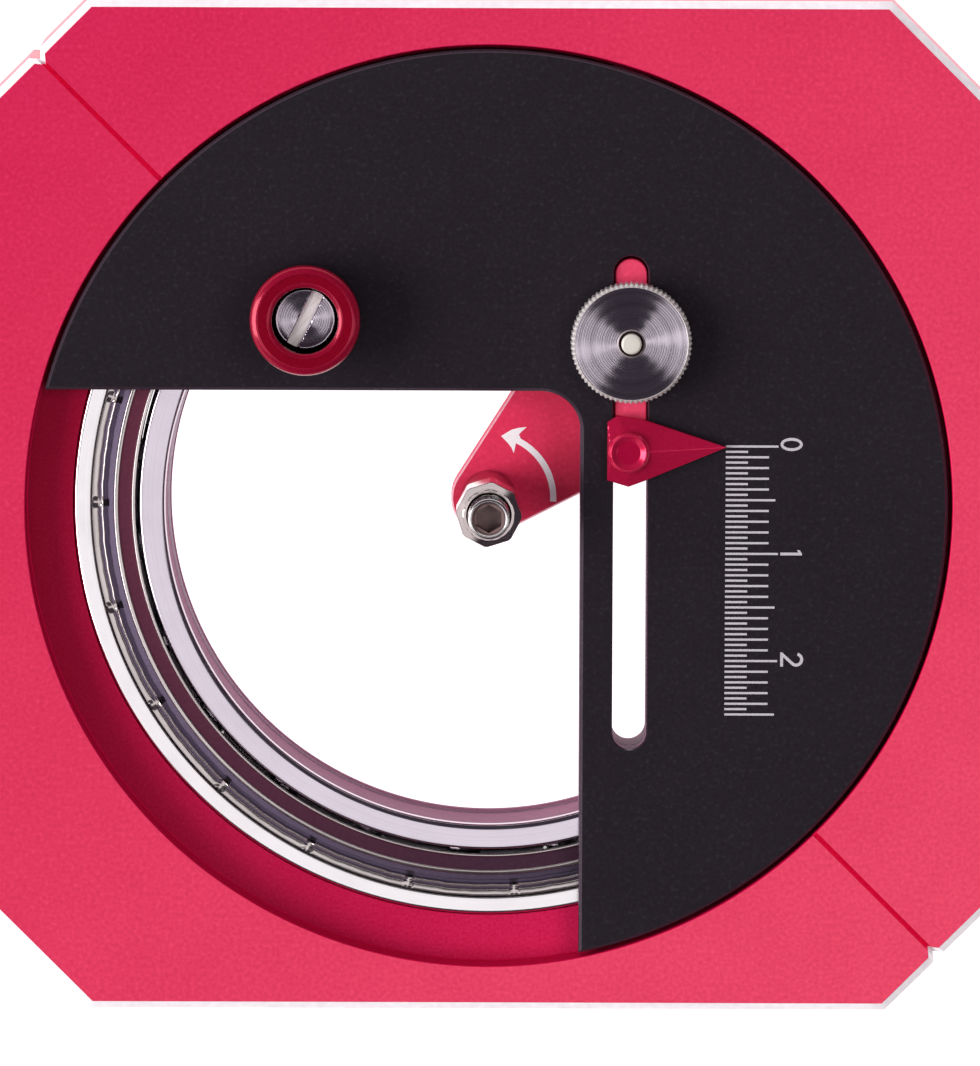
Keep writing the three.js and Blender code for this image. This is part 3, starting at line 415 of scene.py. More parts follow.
def anodised(name, deep, pale, speck, rough, grain=2500.0, depth=0.001, metallic=0.0, coat=0.0, spots=0.1, gloss=0.5,
             painted_shading=None):
    """Dyed anodised aluminium with a blasted grain: the colour goes from deep to pale with the grain, and the
    highest grains catch a paler speck. Towards the lower right corner a second pair of colours takes over: painted
    light where it is paler, painted shade where it is darker."""
    material, tree, shader = new_material(
        name, Metallic=metallic, Coat_Weight=coat, Coat_Roughness=0.1, Specular_IOR_Level=gloss)
    blasted = use_group(tree, GRAIN, Scale=grain, Specks=spots)
    share = from_noise(tree, blasted["Cloud"], 0.0, 1.0)
    colour = mix_colours(tree, share, linear(*deep), linear(*pale))
    if painted_shading:
        # painted light and shade: a second pair of colours lightens or darkens the finish towards the lower right
        lower_right = vector_maths(tree, "DOT_PRODUCT", place_in(tree), (0.5, -0.5, 0))["Value"]
        other = mix_colours(tree, share, linear(*painted_shading[0]), linear(*painted_shading[1]))
        colour = mix_colours(tree, ramp(tree, lower_right, -PAINTED_SHADING_REACH, PAINTED_SHADING_REACH), colour, other)
    colour = mix_colours(tree, blasted["Speck"], colour, linear(*speck))
    finish(tree, shader, colour, (rough - 0.05, rough + 0.05), blasted["Height"], 0.5, depth)
    return material


def turned_metal(name, dark, light, rough, rings=2600.0, depth=0.001, centre=(0, 0), metallic=1.0):
    """Bright metal with turning marks round an upright axis through centre."""
    material, tree, shader = new_material(name, Metallic=metallic)
    marks = use_group(tree, LATHE_MARKS, Centre=(centre[0] * MM, centre[1] * MM, 0.0), Rings=rings)
    colour = mix_colours(tree, from_noise(tree, marks["Tone"], 0.0, 1.0), linear(*dark), linear(*light))
    finish(tree, shader, colour, (rough - 0.05, rough + 0.06), marks["Height"], 0.6, depth)
    return material


# The frame's face turns paler towards the lower right: painted light, where the lamps light it more.
CRIMSON = anodised(
    "crimson_anodised", (204, 20, 72), (222, 36, 88), (240, 84, 120), rough=0.48, depth=0.012, metallic=0.08,
    spots=0.25, gloss=0.2, painted_shading=((226, 60, 94), (246, 80, 110)))
ARM_CRIMSON = anodised(
    "arm_crimson", (216, 34, 76), (232, 48, 90), (244, 100, 130), rough=0.7, depth=0.01, metallic=0.05, spots=0.2,
    gloss=0.45)
# A pale pink line on the arm's top edge: painted highlight.
ARM_EDGE_PAINTED_HIGHLIGHT = anodised(
    "arm_edge_painted_highlight", (240, 168, 184), (252, 196, 206), (255, 220, 226), rough=0.3, depth=0.002, metallic=0.3,
    spots=0.2)
SIDE_CRIMSON = anodised(
    "side_crimson", (204, 20, 72), (222, 36, 88), (240, 84, 120), rough=0.42, depth=0.006, metallic=0.08, coat=0.35,
    spots=0.25, gloss=0.05)
# The key's top is paler than the arm it is part of: painted light.
KEY_PAINTED_LIGHT = anodised(
    "key_crimson_painted_light", (226, 56, 94), (240, 70, 108), (250, 120, 150), rough=0.7, depth=0.01, metallic=0.05, spots=0.2,
    gloss=0.45)
# The ledge, seat and lip inside the opening: painted shade, dark where the opening's wall shades it and near the
# face's own colour towards the lower right.
MACHINED_PAINTED_SHADE = anodised(
    "machined_crimson_painted_shade", (132, 2, 30), (145, 8, 40), (184, 50, 90), rough=0.36, grain=3800.0, depth=0.002,
    metallic=0.08, spots=0.2, gloss=0.04, painted_shading=((206, 20, 76), (229, 42, 98)))
# The grooves' floors are brighter than the face: painted light that lifts the groove out of its shade.
GROOVE_PAINTED_LIGHT = anodised(
    "groove_crimson_painted_light", (234, 14, 80), (246, 22, 90), (250, 40, 110), rough=0.5, depth=0.002, metallic=0.05,
    spots=0.2, gloss=0.05)
# Walls of the opening and the arm's sides are a little darker than the faces: painted shade.
WALL_PAINTED_SHADE = anodised(
    "wall_crimson_painted_shade", (196, 12, 64), (208, 20, 74), (216, 40, 90), rough=0.4, grain=3800.0, depth=0.002, metallic=0.1,
    gloss=0.03)
DEEP_CRIMSON = anodised(
    "deep_crimson_gloss", (116, 0, 24), (130, 1, 30), (146, 8, 44), rough=0.15, grain=3000.0, depth=0.0006,
    metallic=0.97, coat=0.02)
KNOB_EDGE = anodised(
    "knob_bright_edge", (150, 10, 44), (162, 16, 52), (176, 30, 70), rough=0.2, grain=3000.0, depth=0.0006,
    metallic=0.3, coat=0.25, gloss=0.2)
POINTER_CRIMSON = anodised(
    "pointer_crimson", (204, 22, 70), (216, 30, 80), (224, 50, 100), rough=0.24, grain=3000.0, metallic=0.45,
    coat=0.4, spots=0.15, gloss=0.2)
# The floor inside the pointer's ring is darker than the pointer: painted shade in the recess.
RING_FLOOR_PAINTED_SHADE = anodised(
    "ring_floor_painted_shade", (156, 6, 50), (166, 10, 56), (176, 24, 68), rough=0.5, grain=3000.0, metallic=0.1, gloss=0.04)
BLACK = anodised(
    "black_anodised", (28, 22, 29), (37, 31, 38), (72, 66, 76), rough=0.5, grain=2600.0, depth=0.01, spots=0.25,
    gloss=0.12)
# Mauve on the black hub's walls and the slot's walls: painted reflection, as black anodising shows at a grazing view.
HUB_WALL_PAINTED_REFLECTION = anodised(
    "hub_wall_painted_reflection", (130, 72, 106), (148, 88, 120), (160, 110, 134), rough=0.5, grain=2600.0, depth=0.002,
    spots=0.2, gloss=0.05)
# The disc's cut edge is lighter than its face: partly the cut edge's own finish, partly painted highlight.
BLACK_EDGE_PAINTED_HIGHLIGHT = anodised(
    "black_cut_edge_painted_highlight", (60, 50, 60), (72, 60, 72), (96, 84, 98), rough=0.26, grain=4200.0, metallic=0.3, spots=0.2)
# The frame's chamfers are near white: partly bare cut aluminium, partly painted reflection of the pale surroundings.
CUT_EDGE_PAINTED_REFLECTION = anodised(
    "cut_edge_painted_reflection", (240, 228, 234), (254, 248, 250), (255, 252, 253), rough=0.35, grain=1200.0, depth=0.002,
    metallic=0.25, spots=0.3)
# Mauve in the bores of the inner ring and the retaining ring: painted reflection, not the steel's own colour.
BORE_PAINTED_REFLECTION = anodised("bore_painted_reflection", (152, 100, 124), (170, 116, 140), (190, 140, 160), rough=0.5, gloss=0.02)
# The seal band's dark mauve fades to near black towards the lower right: that fade is painted reflection.
SEAL = anodised(
    "dark_seal", (106, 45, 65), (116, 54, 73), (120, 66, 88), rough=0.35, gloss=0.08,
    painted_shading=((6, 26, 38), (12, 34, 46)))
# The floors of the crimp's pits are painted dark: painted shade in the pits.
PIT_PAINTED_SHADE = anodised("crimp_pit_painted_shade", (46, 38, 46), (58, 50, 58), (76, 66, 74), rough=0.6, gloss=0.1)
# A grey-violet band on the shield's rim that goes near black towards the lower right: painted reflection.
RIM_PAINTED_REFLECTION = anodised(
    "rim_painted_reflection", (130, 114, 140), (140, 124, 152), (160, 146, 168), rough=0.35, gloss=0.04,
    painted_shading=((6, 2, 4), (10, 6, 8)))
PRINT = anodised(
    "scale_print", (180, 176, 180), (206, 202, 206), (226, 222, 226), rough=0.6, grain=6000.0, depth=0.002,
    spots=0.3)
WHITE_PRINT = anodised(
    "arrow_print", (244, 236, 238), (252, 248, 248), (254, 252, 252), rough=0.6, grain=6000.0, depth=0.002,
    spots=0.3)
RACE = turned_metal("ground_race", (232, 229, 229), (242, 240, 240), rings=5000.0, rough=0.14, depth=0.0006)
# The inner race is the same ground steel as the outer; its lavender tint is painted reflection.
INNER_RACE_PAINTED_REFLECTION = turned_metal(
    "inner_race_painted_reflection", (206, 197, 207), (218, 210, 219), rings=5000.0, rough=0.14, depth=0.0006)
CRIMP = turned_metal("crimped_rim", (180, 170, 168), (222, 214, 210), rough=0.2, depth=0.004)
RETAINER = turned_metal("retaining_ring_steel", (196, 182, 194), (222, 210, 220), rings=2500.0, rough=0.26)
KNURL = turned_metal(
    "knurled_rim", (196, 190, 188), (218, 212, 208), centre=(SLOT_X, STUD_Y), rings=2500.0, rough=0.4,
    metallic=0.45)
NUT_FACE = turned_metal(
    "turned_nut", (186, 177, 186), (216, 207, 216), centre=(SLOT_X, STUD_Y), rings=5200.0, rough=0.12, depth=0.0006)
SCREW_FACE = turned_metal(
    "turned_screw", (180, 170, 181), (210, 200, 210), centre=(KNOB_X, KNOB_Y), rings=5000.0, rough=0.13,
    depth=0.0008)
BRIGHT = turned_metal("bright_nickel", (214, 208, 206), (228, 224, 222), rough=0.2)
LOCK_NUT = turned_metal("nickel_lock_nut", (190, 178, 176), (208, 196, 194), rough=0.13, depth=0.0006)
DARK_SOCKET = turned_metal("dark_socket", (110, 88, 86), (126, 102, 100), rough=0.45, metallic=0.1)
# The floor of the screw's slot is paler and less metallic than the lands: painted light that lifts it out of its
# shade.
SLOT_PAINTED_LIGHT = turned_metal(
    "milled_slot_painted_light", (232, 222, 220), (246, 238, 236), rings=3000.0, rough=0.5, depth=0.002, metallic=0.25)
STUD_END = turned_metal(
    "stud_steel", (214, 210, 198), (230, 226, 214), centre=(SLOT_X, STUD_Y), rings=4000.0, rough=0.5, depth=0.002,
    metallic=0.3)
STEEL = turned_metal("hidden_steel", (150, 148, 152), (180, 178, 182), rings=3000.0, rough=0.3, depth=0.002)


# Square frame

FRAME_HALF = 47.0
CUT_CORNER = 37.0
FRAME_CHAMFER = 0.7
FOOT_CHAMFER = 0.3
OPENING_RADIUS = 42.9
SEAT_RADIUS = 38.6
LIP_RADIUS = 36.4
CUT_DISTANCE = (FRAME_HALF + CUT_CORNER) / math.sqrt(2)
CUT_HALF = (FRAME_HALF - CUT_CORNER) / math.sqrt(2)
GROOVED_SIDES = (2, 6)
GROOVE_HALF = 0.24
GROOVE_DEPTH = 0.5
NOTCH_HALF = 0.7
NOTCH_DEPTH = 0.8
OUTSIDE = 100.0
FARTHEST_RADIUS = 60.0


def frame_outline(side, share, inset):
    """Points of the square with cut corners, drawn in by inset: on a side, at a share of the way along it."""
    half = FRAME_HALF - inset
    short = CUT_CORNER - (math.sqrt(2) - 1) * inset
    one = np.array([[1, 0], [0, 1], [0, 1], [-1, 0], [-1, 0], [0, -1], [0, -1], [1, 0]])
    other = np.array([[0, 1], [1, 0], [-1, 0], [0, 1], [0, -1], [-1, 0], [1, 0], [0, -1]])
    corners = half[..., None, None] * one + short[..., None, None] * other
    start = np.take_along_axis(corners, side[..., None, None] % 8, axis=-2)[..., 0, :]
    end = np.take_along_axis(corners, (side[..., None, None] + 1) % 8, axis=-2)[..., 0, :]
    return start + (end - start) * share[..., None]


def frame_columns():
    """Side, share along it, whether it is in a groove, and offset from the groove's middle, for each column."""
    plain = np.linspace(0, 1, 48, endpoint=False)
    corner = np.linspace(0, 1, 12, endpoint=False)
    near = np.array([-NOTCH_HALF, -GROOVE_HALF, -GROOVE_HALF, 0, GROOVE_HALF, GROOVE_HALF, NOTCH_HALF])
    before = -np.linspace(CUT_HALF, 1.0, 8, endpoint=False)
    after = np.linspace(1.0, CUT_HALF, 8)[:-1]
    offsets = np.concatenate([before, near, after])
    cut = np.zeros(len(offsets), bool)
    cut[len(before) + np.array([2, 3, 4])] = True
    columns = []
    for side in range(8):
        if side in GROOVED_SIDES:
            share, groove, places = 0.5 + offsets / (2 * CUT_HALF), cut, offsets
        else:
            share = plain if side % 2 else corner
            groove, places = np.zeros(len(share), bool), np.full(len(share), np.inf)
        columns.append((np.full(len(share), side), share, groove, places))
    return tuple(np.concatenate(part) for part in zip(*columns))


def frame_points(section, side, share, cut, offset):
    """A row of points for each section point. A place beyond the farthest radius lies on the outline, drawn in by
    what it lacks to OUTSIDE, less the notch; any other is a radius, at the angle of the outline's point. On a
    grooved side the columns run straight near the groove and fan out over the next five millimetres."""
    place, height = section[:, :1], section[:, 1:]
    inset = np.broadcast_to(OUTSIDE - place, (len(section), len(side)))
    outer = frame_outline(np.broadcast_to(side, inset.shape), np.broadcast_to(share, inset.shape), inset)
    plain = frame_outline(side, share, np.zeros(len(side)))
    middle = np.where(side == GROOVED_SIDES[0], 0.75 * math.pi, -0.25 * math.pi)
    near = np.isfinite(offset)
    lateral = np.where(near, offset, 0.0)
    blend = np.clip((np.abs(lateral) - 1) / 5, 0, 1)
    angle = np.where(
        near,
        middle + np.arcsin(lateral / OPENING_RADIUS) * (1 - blend) + np.arctan(lateral / CUT_DISTANCE) * blend,
        np.arctan2(plain[:, 1], plain[:, 0]),
    )
    notch = np.where(near, np.clip(1 - np.abs(lateral) / NOTCH_HALF, 0, 1), 0.0) * NOTCH_DEPTH
    outer = outer - notch[:, None] * polar(1, middle)
    plan = np.where((place > FARTHEST_RADIUS)[..., None], outer, polar(place, angle))
    level = np.where(cut & (height > FACE_TOP - GROOVE_DEPTH), FACE_TOP - GROOVE_DEPTH, height)
    return np.dstack([plan, np.broadcast_to(level, plan.shape[:2])])


def build_frame():
    """A closed section carried round: out along the underside on the outline, up, in over the face, and down
    the opening on circles."""
    section = soften(
        [
            (LIP_RADIUS, 0), (OUTSIDE - FOOT_CHAMFER, 0), (OUTSIDE, FOOT_CHAMFER),
            (OUTSIDE, FACE_TOP - FRAME_CHAMFER), (OUTSIDE - FRAME_CHAMFER, FACE_TOP),
            (OPENING_RADIUS, FACE_TOP), (OPENING_RADIUS, LEDGE_TOP), (SEAT_RADIUS, LEDGE_TOP),
            (SEAT_RADIUS, LIP_TOP), (LIP_RADIUS, LIP_TOP),
        ],
        [0.15, 0.08, 0.08, 0.06, 0.06, 0.16, 0.12, 0.1, 0.1, 0.15],
    )
    columns = frame_columns()
    around = len(columns[0])
    points = frame_points(section, *columns)

    middle_place, middle_height = middles_of(section).T
    upper = middle_height > FACE_TOP - FRAME_CHAMFER
    on_edge = (middle_place > OUTSIDE - FRAME_CHAMFER) & upper & (middle_height < FACE_TOP)
    inside = (middle_place < OPENING_RADIUS + 0.1) & (middle_height > 0.2)
    on_wall = inside & (middle_place > OPENING_RADIUS - 0.1) & (middle_height > LEDGE_TOP)
    on_side = (middle_place > OUTSIDE - 0.01) & (middle_height > FOOT_CHAMFER)
    kinds = np.repeat(np.select([on_edge, on_wall, inside, on_side], [1, 3, 2, 5], 0), around)
    centre = (points[:, :, 2] + np.roll(points[:, :, 2], -1, axis=1)).ravel() / 2
    in_groove = np.repeat(middle_height > FACE_TOP - 0.02, around) & (centre < FACE_TOP - 0.1)
    # The face is paler towards the lower right as painted light; the ledge and the walls take painted shade, the
    # grooves painted light, and the chamfers a partly painted reflection.
    looks = [CRIMSON, CUT_EDGE_PAINTED_REFLECTION, MACHINED_PAINTED_SHADE, WALL_PAINTED_SHADE, GROOVE_PAINTED_LIGHT, SIDE_CRIMSON]
    piece("square_frame", points, grid_faces(len(section), around, wrap_rows=True), looks, "base", "frame_body",
          slots=np.where(in_groove, 4, kinds))


# Bearing

BEARING_AROUND = 288


def build_races():
    """Ground rings: flat faces with well rounded edges, and a step where each shield sits."""
    outer = soften(
        [
            (38.5, RACE_LOW), (38.5, RACE_HIGH), (36.95, RACE_HIGH), (36.95, 7.75), (35.6, 7.75), (35.6, 6.2),
            (35.9, 5.2), (35.6, 4.2), (35.6, 2.65), (36.95, 2.65), (36.95, RACE_LOW),
        ],
        [0.34, 0.34, 0.12, 0.1, 0.1, 0.3, 0.5, 0.3, 0.1, 0.1, 0.12], steps=6,
    )
    turned("outer_ring", outer, RACE, "base", "bearing_outer_race", around=BEARING_AROUND)
    inner = soften(
        [
            (30.0, RACE_LOW), (32.7, RACE_LOW), (32.7, 4.2), (32.35, 5.2), (32.7, 6.2), (32.7, 7.4), (32.42, 8.1),
            (32.42, RACE_HIGH), (30.0, RACE_HIGH),
        ],
        [0.3, 0.2, 0.3, 0.5, 0.3, 0.1, 0.1, 0.44, 0.66], steps=8,
    )
    middles = middles_of(inner)
    in_bore = (middles[:, 0] < 30.02) & (middles[:, 1] > RACE_LOW)
    # The inner race's lavender tint and its bore's mauve are painted reflection.
    turned("inner_ring", inner, [INNER_RACE_PAINTED_REFLECTION, BORE_PAINTED_REFLECTION], "disc", "bearing_inner_race", around=BEARING_AROUND,
           slots=in_bore.astype(int))


SHIELD_AROUND = 1104
PINCHES = 23
FIRST_PINCH = math.radians(195.65)
PINCH_RADIUS = 35.8
SQUARE_HALF, SQUARE_DEPTH = 0.42, 0.5
PIT_HALF, PIT_DEPTH = 0.3, 0.95


def shield_mesh(face, up):
    """Points, faces and slots of a shield at a level, facing up (1) or down (-1). The section's heights count from
    that level. The rim's rows wander: their radius has a small sum of sines of the angle. Pinches are masks of arc
    length times radius; each draws the rim down to a level square, with a pit inside it whose floor is painted dark
    as shade, and a lip beside."""
    section = soften(
        [
            (36.86, -0.72), (36.86, -0.40), (36.62, -0.38), (36.34, -0.40), (36.13, -0.62), (35.97, -0.40),
            (35.86, -0.33), (35.76, -0.42), (35.64, -0.80), (35.42, -0.80), (35.32, -0.50), (34.88, -0.36),
            (34.76, -0.16), (34.45, -0.12), (34.36, -0.26), (33.2, -0.28), (33.08, -0.12), (32.84, -0.14),
            (32.80, -0.42), (34.4, -0.64), (35.3, -1.02), (36.5, -1.0),
        ],
        [0.03, 0.05, 0.06, 0.06, 0.06, 0.05, 0.05, 0.05, 0.06, 0.05, 0.06, 0.08, 0.06, 0.06, 0.05, 0.05, 0.05,
         0.06, 0.04, 0.1, 0.1, 0.1],
        steps=3,
    )
    angle = once_round(SHIELD_AROUND)[None, :]
    radius, depth = section[:, :1], section[:, 1:]
    on_top = (depth > -0.9) & (np.arange(len(section))[:, None] < np.argmin(radius))

    def band(low, high, of=radius):
        return (of > low) & (of < high) & on_top

    wander = (0.5 * np.sin(11 * angle + 1) + 0.4 * np.sin(37 * angle) + 0.5 * np.sin(83 * angle + 2)
              + 0.3 * np.sin(171 * angle)) * 0.035
    step = TAU / PINCHES
    away = ((angle - FIRST_PINCH + step / 2) % step - step / 2) * PINCH_RADIUS
    square = np.clip((SQUARE_HALF - np.abs(away)) / 0.1, 0, 1) * band(35.9, 36.68)
    pit = np.clip((PIT_HALF - np.abs(away - 0.05)) / 0.06, 0, 1) * band(35.28, 35.8)
    lip = np.exp(-(((np.abs(away) - 0.5) / 0.07) ** 2)) * band(35.3, 36.68)
    level = depth * (1 - square) - SQUARE_DEPTH * square
    level = level * (1 - pit) - PIT_DEPTH * pit + 0.05 * lip
    widened = radius + wander * band(35.0, 36.7) * (1 - np.maximum(square, pit))
    points = spun(widened, angle, face + up * level)

    middles = middles_of(section)[:, :1]
    dark = band(33.15, 34.4, middles)
    # The grey-violet bands take a painted reflection that darkens towards the lower right.
    shaded = band(34.84, 35.74, middles) | band(36.0, 36.2, middles)
    in_pit = np.maximum(pit, np.roll(pit, -1, axis=0)) > 0.5
    in_square = np.maximum(square, np.roll(square, -1, axis=0)) > 0.5
    slots = np.select([in_pit, in_square, dark, shaded], [2, 0, 1, 3], 0)
    return points, grid_faces(len(section), SHIELD_AROUND, wrap_rows=True), slots.ravel()


def build_shields():
    """A dark band with a bright bead on each side, and a rim crimped into the outer ring, above and below."""
    for name, replaced, face, up in (
        ("top_shield", "bearing_shield_top", RACE_HIGH, 1),
        ("bottom_shield", "bearing_shield_bottom", RACE_LOW, -1),
    ):
        points, faces, slots = shield_mesh(face, up)
        # The seal band and the rim's grey-violet band darken towards the lower right as painted reflection; the pits
        # are painted dark as shade.
        piece(name, points, faces, [CRIMP, SEAL, PIT_PAINTED_SHADE, RIM_PAINTED_REFLECTION], "base", replaced, slots=slots, weighted=False)


# Disc, its hub and the ring that holds the hub in the bearing

DISC_RADIUS = 42.5
DISC_LOW = 9.2
WINDOW_RIGHT = 8.47
WINDOW_TOP = 10.85
WINDOW_FILLET = 3.7
SHOULDER_RADIUS = 32.0
HUB_RADIUS = 29.9
CHANNEL_LEFT = -4.1
CHANNEL_RIGHT = 17.38
CHANNEL_TOP = 4.2
HUB_LOW = 1.8
SLOT_LOW, SLOT_HIGH = -22.5, 23.4
SLOT_HALF = 1.575


def quadrant_outline(full_radius):
    """Three quarters of a disc: an arc, and the window's two straight edges joined by a fillet."""

    def outline(inset):
        radius, right, top = full_radius - inset, WINDOW_RIGHT + inset, WINDOW_TOP + inset
        rim = arc(0, 0, radius, -math.acos(right / radius), math.pi - math.asin(top / radius), 360)
        fillet = arc(WINDOW_RIGHT - WINDOW_FILLET, WINDOW_TOP - WINDOW_FILLET, WINDOW_FILLET + inset, math.pi / 2,
                     0, 24)
        return np.vstack([rim, fillet])

    return outline


def slot_outline(inset):
    """The slot, whose edge is broken less than the disc's rim."""
    inset = 0.4 * inset
    return stadium(SLOT_X, SLOT_LOW - inset, SLOT_HIGH + inset, SLOT_HALF + inset)


def right_pad(inset):
    """The part of the hub's round to the right of the arm's channel."""
    radius, left = HUB_RADIUS - inset, CHANNEL_RIGHT + inset
    a = math.acos(left / radius)
    return arc(0, 0, radius, -a, a, 64)


def left_pad(inset):
    """The part of the hub's round to the left of the channel and above the window."""
    radius, right, low = HUB_RADIUS - inset, CHANNEL_LEFT - inset, WINDOW_TOP + inset
    rim = arc(0, 0, radius, math.pi - math.acos(-right / radius), math.pi - math.asin(low / radius), 48)
    return np.vstack([rim, [[right, low]]])


def build_disc():
    """The disc, the hub's web, a shoulder over the inner ring, and the pads on each side of the arm's channel: each
    a plane outline drawn in a little at its edges."""
    face = soften([(0.15, DISC_LOW), (0, DISC_LOW + 0.15), (0, FACE_TOP - 0.3), (0.3, FACE_TOP)],
                  [0, 0.05, 0.08, 0], 3, closed=False)
    web = [(0.1, CHANNEL_TOP), (0, CHANNEL_TOP + 0.1), (0, DISC_LOW + 0.1)]
    shoulder = [(0, DISC_LOW - 0.2), (0, DISC_LOW + 0.1)]
    pads = [(0.2, HUB_LOW), (0, HUB_LOW + 0.2), (0, CHANNEL_TOP + 0.05)]
    points, faces = several([
        plate_mesh([quadrant_outline(DISC_RADIUS), slot_outline], face),
        plate_mesh([quadrant_outline(HUB_RADIUS), slot_outline], web),
        plate_mesh([quadrant_outline(SHOULDER_RADIUS), slot_outline], shoulder),
        plate_mesh([right_pad], pads),
        plate_mesh([left_pad], pads),
    ])
    on_edge = faces_between(points, faces, FACE_TOP - 0.29, FACE_TOP - 0.01)
    on_hub = faces_between(points, faces, HUB_LOW + 0.01, DISC_LOW + 0.08)
    in_slot = at_corners(np.abs(points[:, 0] - SLOT_X), faces).max(axis=1) < SLOT_HALF + 0.225
    on_slot_wall = faces_between(points, faces, DISC_LOW - 0.2, FACE_TOP - 0.32) * in_slot
    # The hub's and the slot's walls take a painted mauve reflection, and the top's cut edge a partly painted
    # highlight.
    piece("turning_disc", points, faces, [BLACK, BLACK_EDGE_PAINTED_HIGHLIGHT, HUB_WALL_PAINTED_REFLECTION], "disc", "disc_plate",
          slots=np.where(np.maximum(on_hub, on_slot_wall) > 0, 2, on_edge))


LUG_ANGLES = (12, -30, 108, 146)
LUG_SCREW_RADIUS = 27.1
LUG_HALF = 2.3
LUG_END, LUG_ROOT = 24.5, 30.6
LUG_HOLE = 1.7
RETAINER_LOW, RETAINER_HIGH = 0.7, 1.6
RETAINER_IN, RETAINER_OUT = 29.65, 32.15


def build_retainer():
    """A flat ring with four rounded lugs, and a countersunk screw in each lug: a section carried round, whose
    radius in the socket is a hexagon's."""
    ring = turned_points(
        soften([(RETAINER_IN, RETAINER_LOW), (RETAINER_OUT, RETAINER_LOW), (RETAINER_OUT, RETAINER_HIGH),
                (RETAINER_IN, RETAINER_HIGH)], 0.12),
        around=BEARING_AROUND,
    )
    parts = [(ring, grid_faces(len(ring), BEARING_AROUND, wrap_rows=True))]
    levels = [(0.1, RETAINER_LOW), (0, RETAINER_LOW + 0.1), (0, RETAINER_HIGH - 0.1), (0.1, RETAINER_HIGH)]
    for degrees in LUG_ANGLES:
        def lug(inset, degrees=degrees):
            half = LUG_HALF - inset
            tip = arc(LUG_END + LUG_HALF, 0, half, math.pi / 2, 1.5 * math.pi, 24)
            return moved(np.vstack([tip, [[LUG_ROOT, -half], [LUG_ROOT, half]]]), degrees)

        def hole(inset, degrees=degrees):
            return moved(arc(LUG_SCREW_RADIUS, 0, LUG_HOLE, 0, TAU, 40)[:-1], degrees)

        parts.append(plate_mesh([lug, hole], levels))
    points, faces = several(parts)
    reach = at_corners(np.hypot(*points[:, :2].T), faces)
    in_bore = (reach.max(axis=1) < 30.2) & (reach.min(axis=1) > 29.5)
    # The ring's bore takes the painted mauve reflection.
    piece("hub_retaining_ring", points, faces, [RETAINER, BORE_PAINTED_REFLECTION], "disc", "retaining_ring",
          slots=in_bore.astype(int))

    section = soften(
        [(0, 5.6), (0.75, 5.6), (0.75, 1.5), (1.6, 0.85), (1.6, 0.8), (0.75, 0.8), (0.62, 1.25), (0, 1.25)],
        [0, 0.1, 0.05, 0.02, 0.05, 0.05, 0.02, 0], closed=False,
    )
    radius, height = section[:, :1], section[:, 1:]
    a = once_round(48)
    in_socket = (radius < 0.74) & (height < 1.3) & (radius > 0.1)
    shape = np.where(in_socket, polygon_radius(a, 6, 1.2), radius)
    for number, degrees in enumerate(LUG_ANGLES, 1):
        x, y = moved([[LUG_SCREW_RADIUS, 0]], degrees)[0]
        piece(f"hub_screw_{number}", spun(shape, a, height, x, y), grid_faces(len(section), len(a)), STEEL, "disc",
              f"retaining_screw_{number}")


# Arm, key and post

ARM_LOW, ARM_HIGH = 0.7, 3.9
ARM_CIRCLES = [(0, 0, 3.5), (15.28, 5.6, 1.5), (15.28, 21.9, 1.5), (11.58, 21.9, 1.5)]
KEY_LOW_Y, KEY_HIGH_Y = 2.75, 23.15
KEY_HALF = 1.475
KEY_TOP = 11.6
POST_TOP = 13.1


def wrapped(circles, grow, steps=20):
    """A band pulled tight round circles (x, y, r) in anticlockwise order, grown outwards."""
    circles = np.asarray(circles, float)
    following = np.roll(circles, -1, axis=0)
    run = following - circles
    outward = np.arctan2(run[:, 1], run[:, 0]) - np.arccos(
        (circles[:, 2] - following[:, 2]) / np.hypot(run[:, 0], run[:, 1]))
    start = np.roll(outward, 1)
    sweep = (outward - start) % TAU
    a = start[:, None] + sweep[:, None] * np.linspace(0, 1, steps + 1)
    return polar(circles[:, 2:] + grow, a, circles[:, :1], circles[:, 1:2]).reshape(-1, 2)


def build_arm():
    """The arm's plate, a band pulled round four circles, with the key that slides in the disc's slot, and the
    hollow post for the blade, a section carried round."""

    def arm(inset):
        return wrapped(ARM_CIRCLES, -inset)

    def key(inset):
        return stadium(SLOT_X, KEY_LOW_Y + inset, KEY_HIGH_Y - inset, KEY_HALF - inset)

    key_levels = soften([(0, ARM_HIGH - 0.1), (0, KEY_TOP - 0.1), (0.1, KEY_TOP)], [0, 0.1, 0], 3, closed=False)
    points, faces = several([
        plate_mesh([arm], edged(ARM_LOW, ARM_HIGH, 0.2, 0.17)),
        plate_mesh([key], key_levels),
    ])
    on_edge = faces_between(points, faces, ARM_HIGH - 0.17, ARM_HIGH - 0.01)
    on_wall = faces_between(points, faces, ARM_LOW + 0.01, ARM_HIGH - 0.18)
    on_key = faces_between(points, faces, KEY_TOP - 0.01, KEY_TOP + 0.01)
    # The arm's top edge takes a painted highlight, its sides painted shade, and the key's top painted light.
    piece("sliding_arm", points, faces, [ARM_CRIMSON, ARM_EDGE_PAINTED_HIGHLIGHT, WALL_PAINTED_SHADE, KEY_PAINTED_LIGHT], "slider", "slider_arm",
          slots=on_edge + 2 * on_wall + 3 * on_key)
    post = soften(
        [(2.1, 2.0), (2.1, POST_TOP), (2.6, POST_TOP), (2.6, ARM_HIGH - 0.1), (2.4, 2.0)],
        [0, 0.1, 0.12, 0, 0],
    )
    # The post is part of the arm, drawn in the knob's dark gloss crimson as painted shade under the nut.
    turned("arm_post", post, DEEP_CRIMSON, "slider", around=96)


# Blade holder

